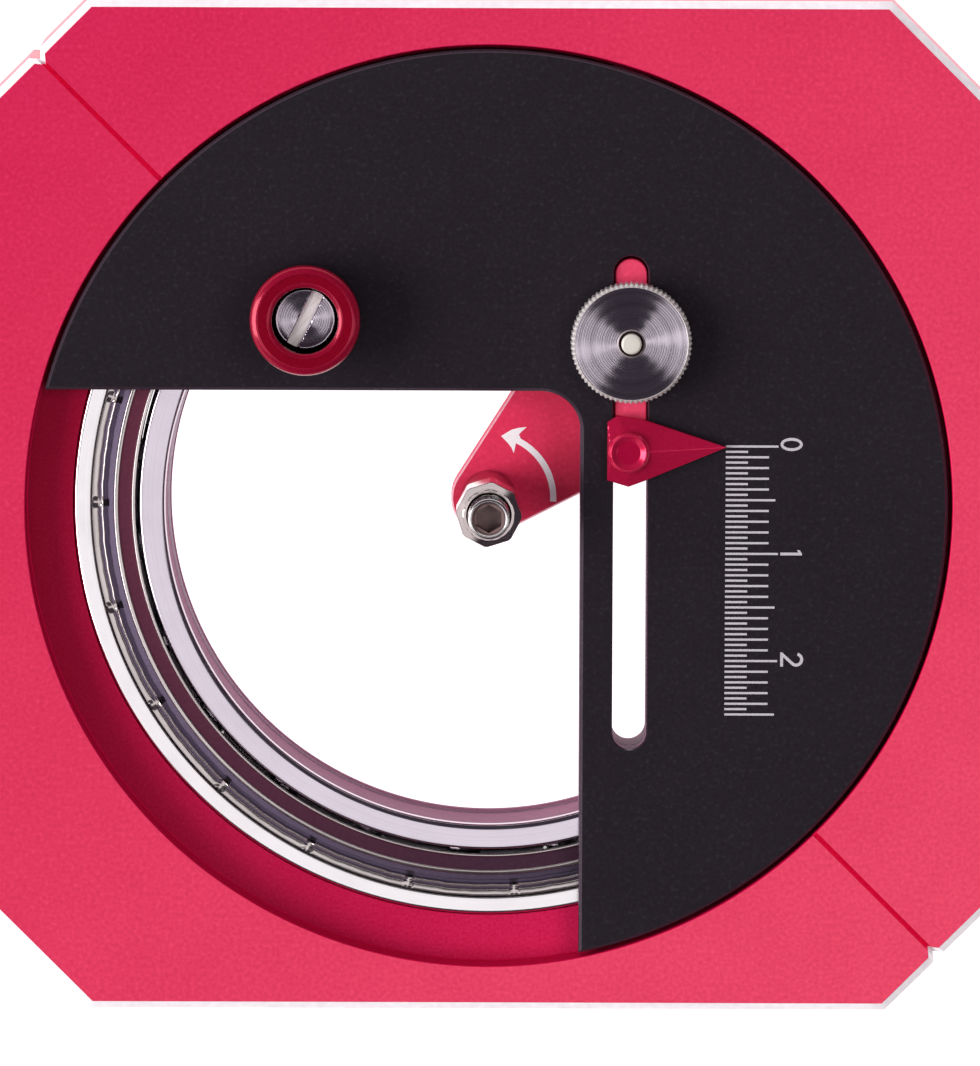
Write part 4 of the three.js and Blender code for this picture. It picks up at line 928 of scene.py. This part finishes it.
NUT_LOW, NUT_HIGH = 13.4, 18.0
NUT_TURN = math.radians(-5)
NUT_FLATS = 5.7
NUT_CORNER = 3.02
NUT_BORE = 2.1
NUT_CONE_START = 2.34
SCREW_LOW, SCREW_HIGH = 9.4, 21.2
SCREW_RADIUS = 1.95
THREAD_PITCH = 0.7
THREAD_DEPTH = 0.22
SOCKET_RADIUS = 1.32
SOCKET_FLATS = 2.3
SOCKET_DEPTH = 2.2


def build_lock_nut():
    """An eight-sided nut. Its top is the lower of a level and a cone round the bore, and its foot likewise: a
    row's radius runs from the bore to the polygon's, and its height falls with the radius past the cone's start."""
    a = once_round(320)[None, :]
    side = np.minimum(polygon_radius(a, 8, NUT_FLATS, NUT_TURN + math.pi / 8), NUT_CORNER)
    share = np.array([0, 0.12, 0.25, 0.32, 0.4, 0.55, 0.7, 0.85, 0.94, 0.985, 1.0])[:, None]
    top_radius = NUT_BORE + share * (side - NUT_BORE)
    top = NUT_HIGH - 0.8 * np.clip(top_radius - NUT_CONE_START, 0, None) - 0.06 * np.clip((share - 0.97) / 0.03, 0, 1)
    foot_radius = NUT_BORE + share[::-1] * (side - NUT_BORE)
    foot = NUT_LOW + 0.4 * np.clip(foot_radius - 2.5, 0, None)
    points = spun(np.concatenate([top_radius, foot_radius]), a, np.concatenate([top, foot]))
    piece("octagon_lock_nut", points, grid_faces(*points.shape[:2], wrap_rows=True), LOCK_NUT, "lock_nut",
          "blade_lock_nut", sharp=14, weighted=False)


def build_blade_screw():
    """A hollow-ended screw. On the thread the radius falls by a triangle wave of height plus angle over one
    turn, times the pitch; in the socket the radius is a hexagon's."""
    heights = np.arange(SCREW_LOW + 0.2, SCREW_HIGH - 0.3, THREAD_PITCH / 10)
    thread = np.column_stack([np.full(len(heights), SCREW_RADIUS), heights])
    end = soften(
        [(SCREW_RADIUS, SCREW_HIGH - 0.3), (1.86, SCREW_HIGH - 0.06), (1.62, SCREW_HIGH), (1.5, SCREW_HIGH - 0.12),
         (SOCKET_RADIUS, SCREW_HIGH - 0.42), (SOCKET_RADIUS, SCREW_HIGH - SOCKET_DEPTH),
         (0, SCREW_HIGH - SOCKET_DEPTH)],
        [0, 0.1, 0.06, 0.05, 0.05, 0.05, 0], closed=False,
    )
    section = np.vstack([[(0, SCREW_LOW), (1.7, SCREW_LOW)], thread, end])
    radius, height = section[:, :1], section[:, 1:]
    a = once_round(96)
    turn = (height / THREAD_PITCH + a / TAU) % 1
    on_thread = (radius > SCREW_RADIUS - 0.01) & (height > SCREW_LOW + 0.1)
    in_socket = (radius < SOCKET_RADIUS + 0.02) & (radius > 0.01) & (height > SCREW_LOW + 1)
    cut = np.where(on_thread, radius - THREAD_DEPTH * (1 - np.abs(2 * turn - 1)), radius)
    cut = np.where(in_socket, np.minimum(radius, polygon_radius(a, 6, SOCKET_FLATS)), cut)
    inside = (radius[1:, 0] < 1.4) & (height[1:, 0] > SCREW_LOW + 1)
    piece("hollow_screw", spun(cut, a, height), grid_faces(len(section), len(a)), [BRIGHT, DARK_SOCKET],
          "depth_screw", "blade_screw", slots=np.repeat(inside.astype(int), len(a)), sharp=40, weighted=False)


def build_return_spring():
    """A round wire wound about the blade: its middle climbs steadily with the angle over four turns, and a small
    circle goes round it, closed at each end by quads from side to side."""
    wire, radius, low, high, turns, sides = 0.15, 1.8, 2.45, 5.25, 4, 10
    a = np.linspace(0, turns * TAU, turns * 40 + 1)[:, None]
    b = once_round(sides)[None, :]
    level = low + (high - low) * a / (turns * TAU) + wire * np.sin(b)
    points = spun(radius + wire * np.cos(b), a, level)
    end = (np.arange(1, sides // 2)[:, None] * [1, 1, -1, -1] + [0, -1, 0, -1]) % sides
    faces = np.vstack([grid_faces(len(a), sides), end, end + (len(a) - 1) * sides])
    made = piece("return_spring_coil", points, faces, STEEL, "slider", "blade_return_spring", sharp=60)
    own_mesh(made)


# Thumb nut and stud

WHEEL_LOW, WHEEL_HIGH = 12.65, 15.15
WHEEL_RADIUS = 5.6
WHEEL_BORE = 1.15
WHEEL_TEETH = 72
TOOTH_DEPTH = 0.15
STUD_HIGH = 15.75
FEED = 0.1


def turned_face(outer, inner, height, slope):
    """Radii and heights of a faced end: a zigzag between two radii, whose flanks have nearly one slope, so light
    from one side lights two opposite sectors. The steps differ by a slow wave, as feed marks do."""
    number = np.arange(int((outer - inner) / FEED * 2))
    step = 1 + 0.35 * np.sin(number * 1.7) + 0.2 * np.sin(number * 0.53)
    travel = np.concatenate([[0], np.cumsum(step)])
    radius = outer - (outer - inner) * travel / travel[-1]
    fall = np.abs(np.diff(radius)) * slope * (1 + 0.08 * np.sin(number * 0.31))
    zigzag = np.concatenate([[0], np.cumsum(fall * np.where(number % 2, 1, -1))])
    zigzag -= np.linspace(0, zigzag[-1], len(zigzag))
    return np.column_stack([radius, height - 0.02 + zigzag - zigzag.max()])


def build_thumb_nut():
    """A knurled wheel: on the rim the radius falls by a rounded wave, one to a tooth, and the face has turning
    grooves whose height depends on the radius alone."""
    rim = soften(
        [(WHEEL_BORE, WHEEL_LOW), (WHEEL_RADIUS - 0.3, WHEEL_LOW), (WHEEL_RADIUS, WHEEL_LOW + 0.3),
         (WHEEL_RADIUS, WHEEL_HIGH - 0.3), (WHEEL_RADIUS - 0.36, WHEEL_HIGH)],
        [0, 0.08, 0.08, 0.1, 0], closed=False,
    )
    face = turned_face(5.2, 1.32, WHEEL_HIGH, 0.17)
    section = np.vstack([rim, face, [(1.2, WHEEL_HIGH - 0.1), (WHEEL_BORE, WHEEL_HIGH - 0.2)]])
    a = once_round(6 * WHEEL_TEETH)
    wave = 0.5 - 0.5 * np.cos(a * WHEEL_TEETH)
    share = np.clip((section[:, :1] - 5.3) / 0.2, 0, 1)
    points = spun(section[:, :1] - TOOTH_DEPTH * wave * share, a, section[:, 1:], SLOT_X, STUD_Y)
    on_rim = middles_of(section)[:, 0] > 5.21
    piece("thumb_wheel", points, grid_faces(len(section), len(a), wrap_rows=True), [NUT_FACE, KNURL], "clamp_nut",
          "thumb_nut", slots=np.repeat(on_rim.astype(int), len(a)), sharp=9, weighted=False)
    stud = soften([(0, 5.6), (0.93, 5.6), (0.93, STUD_HIGH - 0.16), (0.78, STUD_HIGH), (0, STUD_HIGH)],
                  [0, 0.1, 0.04, 0.04, 0], closed=False)
    turned("stud_end", stud, STUD_END, "slider", "clamp_stud", about=(SLOT_X, STUD_Y), around=64)


# Pointer

POINTER_LOW = 12.2
POINTER_EDGE = 12.9
POINTER_HIGH = 14.0
POINTER_TIP_X, POINTER_TIP_Y = 21.95, 5.8
ROOF_START = 1.3
ROOF_SOFTNESS = 0.012


def build_pointer():
    """A flat arrow with a roof. At each angle the outline is the nearest of its sides' lines, and the roof falls
    from a peak at the ring's middle to the outline's edge in proportion to the distance. It is the softened least
    of the sides' slopes: minus softness times the logarithm of the sum of e to the minus slope over softness."""
    x, y = POINTER_X, POINTER_Y
    tip = [POINTER_TIP_X - x, POINTER_TIP_Y - y]
    outline = np.array([[-1.98, 2.75], [-1.98, -2.65], [0, -3.25], [1.6, -2.65], tip, [1.6, 2.95], [-0.99, 3.4]])
    ahead = np.roll(outline, -1, axis=0)
    normal = np.column_stack([ahead[:, 1] - outline[:, 1], outline[:, 0] - ahead[:, 0]])
    reach = (normal * outline).sum(axis=1)
    corner = np.arctan2(outline[:, 1], outline[:, 0]) % TAU
    near_tip = (math.atan2(tip[1], tip[0]) + np.linspace(-0.06, 0.06, 17)) % TAU
    a = np.unique(np.round(np.concatenate([once_round(144), corner, near_tip]), 9))
    facing = normal @ np.stack([np.cos(a), np.sin(a)])
    out = np.where(facing > 1e-6, reach[:, None] / np.maximum(facing, 1e-6), np.inf).min(axis=0)

    roof_radius = ROOF_START + (out - 0.06 - ROOF_START) * np.linspace(1, 0, 14)[:, None]
    steep = np.array([4.5, 1, 1, 1, 1, 1, 1])
    from_side = steep * (1 - (polar(roof_radius, a) @ normal.T) / reach)
    least = -ROOF_SOFTNESS * np.log(np.exp(-from_side / ROOF_SOFTNESS).sum(axis=-1))
    roof = np.maximum(POINTER_EDGE + (POINTER_HIGH - POINTER_EDGE) * least, POINTER_EDGE - 0.03)
    wall = [(ROOF_START + 0 * out, POINTER_LOW), (out - 0.05, POINTER_LOW), (out, POINTER_LOW + 0.05),
            (out, POINTER_EDGE - 0.09), (out - 0.02, POINTER_EDGE - 0.04)]
    radius = np.concatenate([[row for row, level in wall], roof_radius])
    height = np.concatenate([[level + 0 * out for row, level in wall], roof])
    piece("pointer_arrow", spun(radius, a, height, x, y), grid_faces(len(radius), len(a), wrap_rows=True),
          POINTER_CRIMSON, "slider", "pointer", sharp=24, weighted=False)

    ring = soften(
        [(0, 12.5), (1.93, 12.5), (1.93, POINTER_HIGH - 0.26), (1.66, POINTER_HIGH), (1.58, POINTER_HIGH),
         (1.1, 13.7), (0, 13.7)],
        [0, 0, 0.06, 0.05, 0.08, 0.06, 0], closed=False, steps=6,
    )
    middles = middles_of(ring)[:-1]
    on_floor = (middles[:, 0] < 1.08) & (middles[:, 1] > 13)
    # The floor inside the ring takes painted shade.
    turned("pointer_ring", ring, [POINTER_CRIMSON, RING_FLOOR_PAINTED_SHADE], "slider", "pointer_pin", about=(x, y), around=96,
           slots=on_floor.astype(int))


# Knob and its screw

KNOB_LOW = 12.2
KNOB_HIGH = 18.2
SCREW_TOP = 16.15
HEAD_RADIUS = 2.72
SLOT_WIDTH_HALF = 0.55
SLOT_FLOOR = SCREW_TOP - 0.45
SLOT_DEGREES = (154, 334)


def build_knob():
    """A waisted knob with a rounded rim and a well for the screw's head: one closed section carried round."""
    section = soften(
        [
            (1.85, KNOB_LOW), (4.5, KNOB_LOW), (4.5, 12.8), (4.0, 13.3), (4.0, 14.5), (5.1, 15.0),
            (5.1, KNOB_HIGH - 0.6), (4.9, KNOB_HIGH - 0.23), (4.48, KNOB_HIGH), (3.4, KNOB_HIGH),
            (3.06, KNOB_HIGH - 0.18), (3.06, 14.5), (1.85, 14.5),
        ],
        [0.05, 0.15, 0.15, 0.2, 0.2, 0.2, 0.2, 0.14, 0.2, 0.16, 0.14, 0.5, 0.05], steps=6,
    )
    height = middles_of(section)[:, 1]
    on_edge = (height > KNOB_HIGH - 0.6) & (height < KNOB_HIGH - 0.003)
    turned("turning_knob", section, [DEEP_CRIMSON, KNOB_EDGE], "handle", "handle_knob", about=(KNOB_X, KNOB_Y),
           around=160, slots=on_edge.astype(int))


def land(side):
    """Half of the screw's head, as a list of meshes: at radius r the land spans the angles up to the arc cosine of
    the slot's half width over r, so its straight side is the slot's wall. Its top has turning grooves, and falls
    at 45 degrees close to the wall."""
    face = turned_face(2.6, 0.57, SCREW_TOP, 0.165)
    level = SCREW_TOP - 0.03
    radius = np.concatenate([[HEAD_RADIUS, 2.68], face[:, 0], [SLOT_WIDTH_HALF + 0.001]])[:, None]
    top = np.concatenate([[SCREW_TOP - 0.11, level], face[:, 1], [level]])[:, None]
    share = np.linspace(0, 1, 25) ** 0.45
    angle = np.concatenate([-share[:0:-1], share]) * np.arccos(SLOT_WIDTH_HALF / radius)
    from_wall = radius * np.cos(angle) - SLOT_WIDTH_HALF
    height = level + (top - level) * np.clip(from_wall / 0.16, 0, 1) - np.clip(0.1 - from_wall, 0, 0.1)
    upper = spun(radius, angle + side, height, KNOB_X, KNOB_Y)
    lower = spun(radius, angle + side, SLOT_FLOOR - 0.2, KNOB_X, KNOB_Y)
    rims = [np.concatenate([sheet[:, 0], sheet[-1, 1:], sheet[-2::-1, -1], sheet[0, -2:0:-1]])
            for sheet in (upper, lower)]
    flat = grid_faces(*angle.shape, wrap_columns=False)
    return [(upper, flat), (lower, flat), (np.stack(rims), grid_faces(2, len(rims[0])))]


def build_knob_screw():
    """A slotted shoulder screw: a turned shank and head, and two lands that leave the driver's slot between."""
    shank = soften(
        [(0, 6.0), (1.2, 6.0), (1.2, 12.15), (1.7, 12.15), (1.7, 14.75), (HEAD_RADIUS, 14.75),
         (HEAD_RADIUS, SLOT_FLOOR), (0, SLOT_FLOOR)],
        [0, 0.15, 0.05, 0.05, 0.05, 0.1, 0.02, 0], closed=False,
    )
    parts = [(turned_points(shank, (KNOB_X, KNOB_Y), 96), grid_faces(len(shank), 96))]
    for degrees in SLOT_DEGREES:
        parts.extend(land(math.radians(degrees)))
    points, faces = several(parts)
    # The floor of the driver's slot takes painted light.
    piece("slotted_screw", points, faces, [SCREW_FACE, SLOT_PAINTED_LIGHT], "disc", "handle_screw",
          slots=faces_between(points, faces, SLOT_FLOOR - 0.01, SLOT_FLOOR + 0.01), sharp=9, weighted=False)


# Printed scale and arrow

SCALE_ZERO_Y = 5.8
SCALE_START_X = 21.9
SCALE_MARKS = 51
MARK_STEP = 0.5
MARK_HALF = 0.1
PRINT_HEIGHT = 0.02


def printed(name, shapes, height, material, body):
    """A piece of thin printed shapes, each a list of outlines of which the later ones are holes."""
    parts = []
    for shape in shapes:
        loops = [lambda inset, loop=loop: loop for loop in shape]
        parts.append(plate_mesh(loops, [(0, height), (0, height + PRINT_HEIGHT)]))
    points, faces = several(parts)
    piece(name, points, faces, material, body, weighted=False)


def mark_length(mark):
    """Longest each ten millimetres, shorter each five, each one and each half."""
    for every, length in ((20, 4.87), (10, 4.6), (2, 4.0)):
        if mark % every == 0:
            return length
    return 2.05


def build_scale():
    """Thin level bars in equal steps down the scale, the first of them level with the pointer at rest."""
    x = SCALE_START_X
    bars = []
    for mark in range(SCALE_MARKS):
        length = mark_length(mark)
        low = SCALE_ZERO_Y - MARK_STEP * mark - MARK_HALF
        high = low + 2 * MARK_HALF
        bars.append([np.array([[x, low], [x + length, low], [x + length, high], [x, high]])])
    printed("scale_marks", bars, FACE_TOP, PRINT, "disc")


def build_figures():
    """The figures 0, 1 and 2, drawn upright round their middles, then turned to read down. The two is a bow
    between two arcs, a slanting stroke and a foot."""
    a = once_round(64)
    zero = [np.column_stack([0.61 * np.cos(a), 1.03 * np.sin(a)]),
            np.column_stack([0.35 * np.cos(a), 0.77 * np.sin(a)])]
    one = [np.array([[-0.13, -1.0], [0.13, -1.0], [0.13, 1.0], [-0.05, 1.0], [-0.36, 0.78], [-0.36, 0.56],
                     [-0.13, 0.66]])]
    start, end = math.radians(165), math.radians(-35)
    foot = [[-0.22, -0.78], [0.66, -0.78], [0.66, -1.05], [-0.66, -1.05], [-0.66, -0.86]]
    two = [np.vstack([arc(0, 0.42, 0.66, start, end, 24), foot, arc(0, 0.42, 0.38, end, start, 24)])]
    shapes = []
    for figure, x, y in ((zero, 27.98, 0.2), (one, 28.0, -10.0), (two, 28.1, -19.85)):
        shapes.append([moved(loop, -90, x, SCALE_ZERO_Y + y) for loop in figure])
    printed("scale_figures", shapes, FACE_TOP, PRINT, "disc")


def build_arrow():
    """A curved arrow on the arm that shows which way the disc turns: a band between two arcs round the blade's
    axis, with a swept head."""
    start, end = math.radians(-3), math.radians(62)
    head = [[2.8, 5.95], [3.0, 6.2], [3.52, 6.67], [2.75, 6.58], [2.11, 6.41], [1.13, 5.81], [1.79, 5.14],
            [2.1, 4.72], [2.32, 4.2], [2.46, 4.85], [2.52, 5.15]]
    outline = np.vstack([arc(0, 0, 6.31, start, end, 32), head, arc(0, 0, 5.73, end, start, 32)])
    printed("arm_arrow", [[outline]], ARM_HIGH, WHITE_PRINT, "slider")


# Light and floor

FLOOR_HALF = 1500.0
FLOOR_LEVEL = -0.02
ROOM_COLOUR = (0.05, 0.042, 0.055, 1)
STRIP_COLOUR = (1.1, 1.06, 1.1, 1)
STRIP_TOWARDS = Vector((0, -0.115, 0.993))
STRIP_TURN = math.radians(8)
STRIP_BEND = 0.32
STRIP_EDGE = (0.12, 0.19)
STRIP_END = (0.5, 0.8)
WALL_COLOUR = (1.0, 0.98, 1.02, 1)
WALL_TOWARDS = Vector((-0.82, 0.57, 0))
WALL_TOP = (0.36, 0.5)
WALL_SIDE = (-0.3, 0.05)


def add_floor():
    """A plain pale floor that glows, as the lit table under a product does. From below it is clear, so that the
    tool's underside can be looked at."""
    mesh = bpy.data.meshes.new("floor")
    corners = [(x * FLOOR_HALF * MM, y * FLOOR_HALF * MM, FLOOR_LEVEL * MM)
               for x, y in ((-1, -1), (1, -1), (1, 1), (-1, 1))]
    mesh.from_pydata(corners, [], [(0, 1, 2, 3)])
    material, tree, shader = new_material("pale_floor", Roughness=0.9, Emission_Strength=1.0)
    shader.inputs["Base Color"].default_value = (0.5, 0.5, 0.5, 1)
    shader.inputs["Emission Color"].default_value = (1, 1, 1, 1)
    behind = node(tree, "ShaderNodeNewGeometry").outputs["Backfacing"]
    tree.links.new(maths(tree, "SUBTRACT", 1.0, behind), shader.inputs["Alpha"])
    mesh.materials.append(material)
    floor = bpy.data.objects.new("floor", mesh)
    bpy.context.scene.collection.objects.link(floor)


def add_area(name, azimuth, elevation, distance, size, power, colour=(1, 0.98, 1)):
    """A square panel on a sphere round the tool, facing its middle."""
    a, e = math.radians(azimuth), math.radians(elevation)
    place = Vector((math.cos(a) * math.cos(e), math.sin(a) * math.cos(e), math.sin(e))) * distance
    light = bpy.data.lights.new(name, "AREA")
    light.shape = "RECTANGLE"
    light.size, light.size_y = size, size
    light.energy = power
    light.color = colour
    made = bpy.data.objects.new(name, light)
    made.location = place
    made.rotation_euler = (-place).to_track_quat("-Z", "Y").to_euler()
    bpy.context.scene.collection.objects.link(made)
    return made


def add_world():
    """A dim room with a pale strip overhead that leans with the view, and a pale wall low down behind the tool
    and to its left. The strip is where the direction lies near one upright plane, bent towards the front at both
    ends; the wall is where it lies near the horizon and turns towards the wall's middle."""
    world = bpy.data.worlds.new("soft_room")
    bpy.context.scene.world = world
    world.use_nodes = True
    tree = world.node_tree
    background = tree.nodes["Background"]
    direction = node(tree, "ShaderNodeTexCoord").outputs["Generated"]

    def along(towards):
        return vector_maths(tree, "DOT_PRODUCT", direction, towards.normalized())["Value"]

    def beyond(value, edge):
        return ramp(tree, value, *edge, interpolation_type="SMOOTHSTEP")

    lengthways = Vector((math.cos(STRIP_TURN), math.sin(STRIP_TURN), 0))
    bend = maths(tree, "MULTIPLY", maths(tree, "ABSOLUTE", along(lengthways)), STRIP_BEND)
    from_plane = maths(tree, "ABSOLUTE", maths(tree, "ADD", along(STRIP_TOWARDS.cross(lengthways)), bend))
    near_plane = maths(tree, "SUBTRACT", 1.0, beyond(from_plane, STRIP_EDGE))
    strip = maths(tree, "MULTIPLY", near_plane, beyond(along(STRIP_TOWARDS), STRIP_END))
    up = maths(tree, "ABSOLUTE", along(Vector((0, 0, 1))))
    low_down = maths(tree, "SUBTRACT", 1.0, beyond(up, WALL_TOP))
    wall = maths(tree, "MULTIPLY", low_down, beyond(along(WALL_TOWARDS), WALL_SIDE))
    colour = mix_colours(tree, strip, ROOM_COLOUR, STRIP_COLOUR)
    tree.links.new(mix_colours(tree, wall, colour, WALL_COLOUR), background.inputs["Color"])
    background.inputs["Strength"].default_value = 1.0


def add_lights():
    """A broad panel to the left, and a small one high to the right that casts light but isn't seen in gloss."""
    add_area("left_panel", azimuth=182, elevation=36, distance=2.4, size=1.5, power=54)
    right = add_area("right_panel", azimuth=15, elevation=63, distance=1.5, size=0.6, power=6.4,
                     colour=(1, 0.97, 0.98))
    right.visible_glossy = False
    bpy.context.scene.view_settings.view_transform = "Standard"


# Nodes whose shape is kept from the frame, with finishes of their own

KEPT = {
    "bearing_cage": STEEL,
    "clamp_washer": STEEL,
    "blade_carrier": STEEL,
    "blade": BRIGHT,
}


def dress_kept_nodes():
    """The balls take the races' finish, the other kept nodes theirs from the table."""
    for name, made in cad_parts.items():
        material = RACE if name.startswith("bearing_ball") else KEPT.get(name)
        if material is not None:
            made.data.materials.clear()
            made.data.materials.append(material)


for step in (
    add_camera, build_frame, build_races, build_shields, build_disc, build_retainer, build_arm, build_lock_nut,
    build_blade_screw, build_return_spring, build_thumb_nut, build_pointer, build_knob, build_knob_screw,
    build_scale, build_figures, build_arrow, dress_kept_nodes, add_floor, add_world, add_lights,
):
    step()
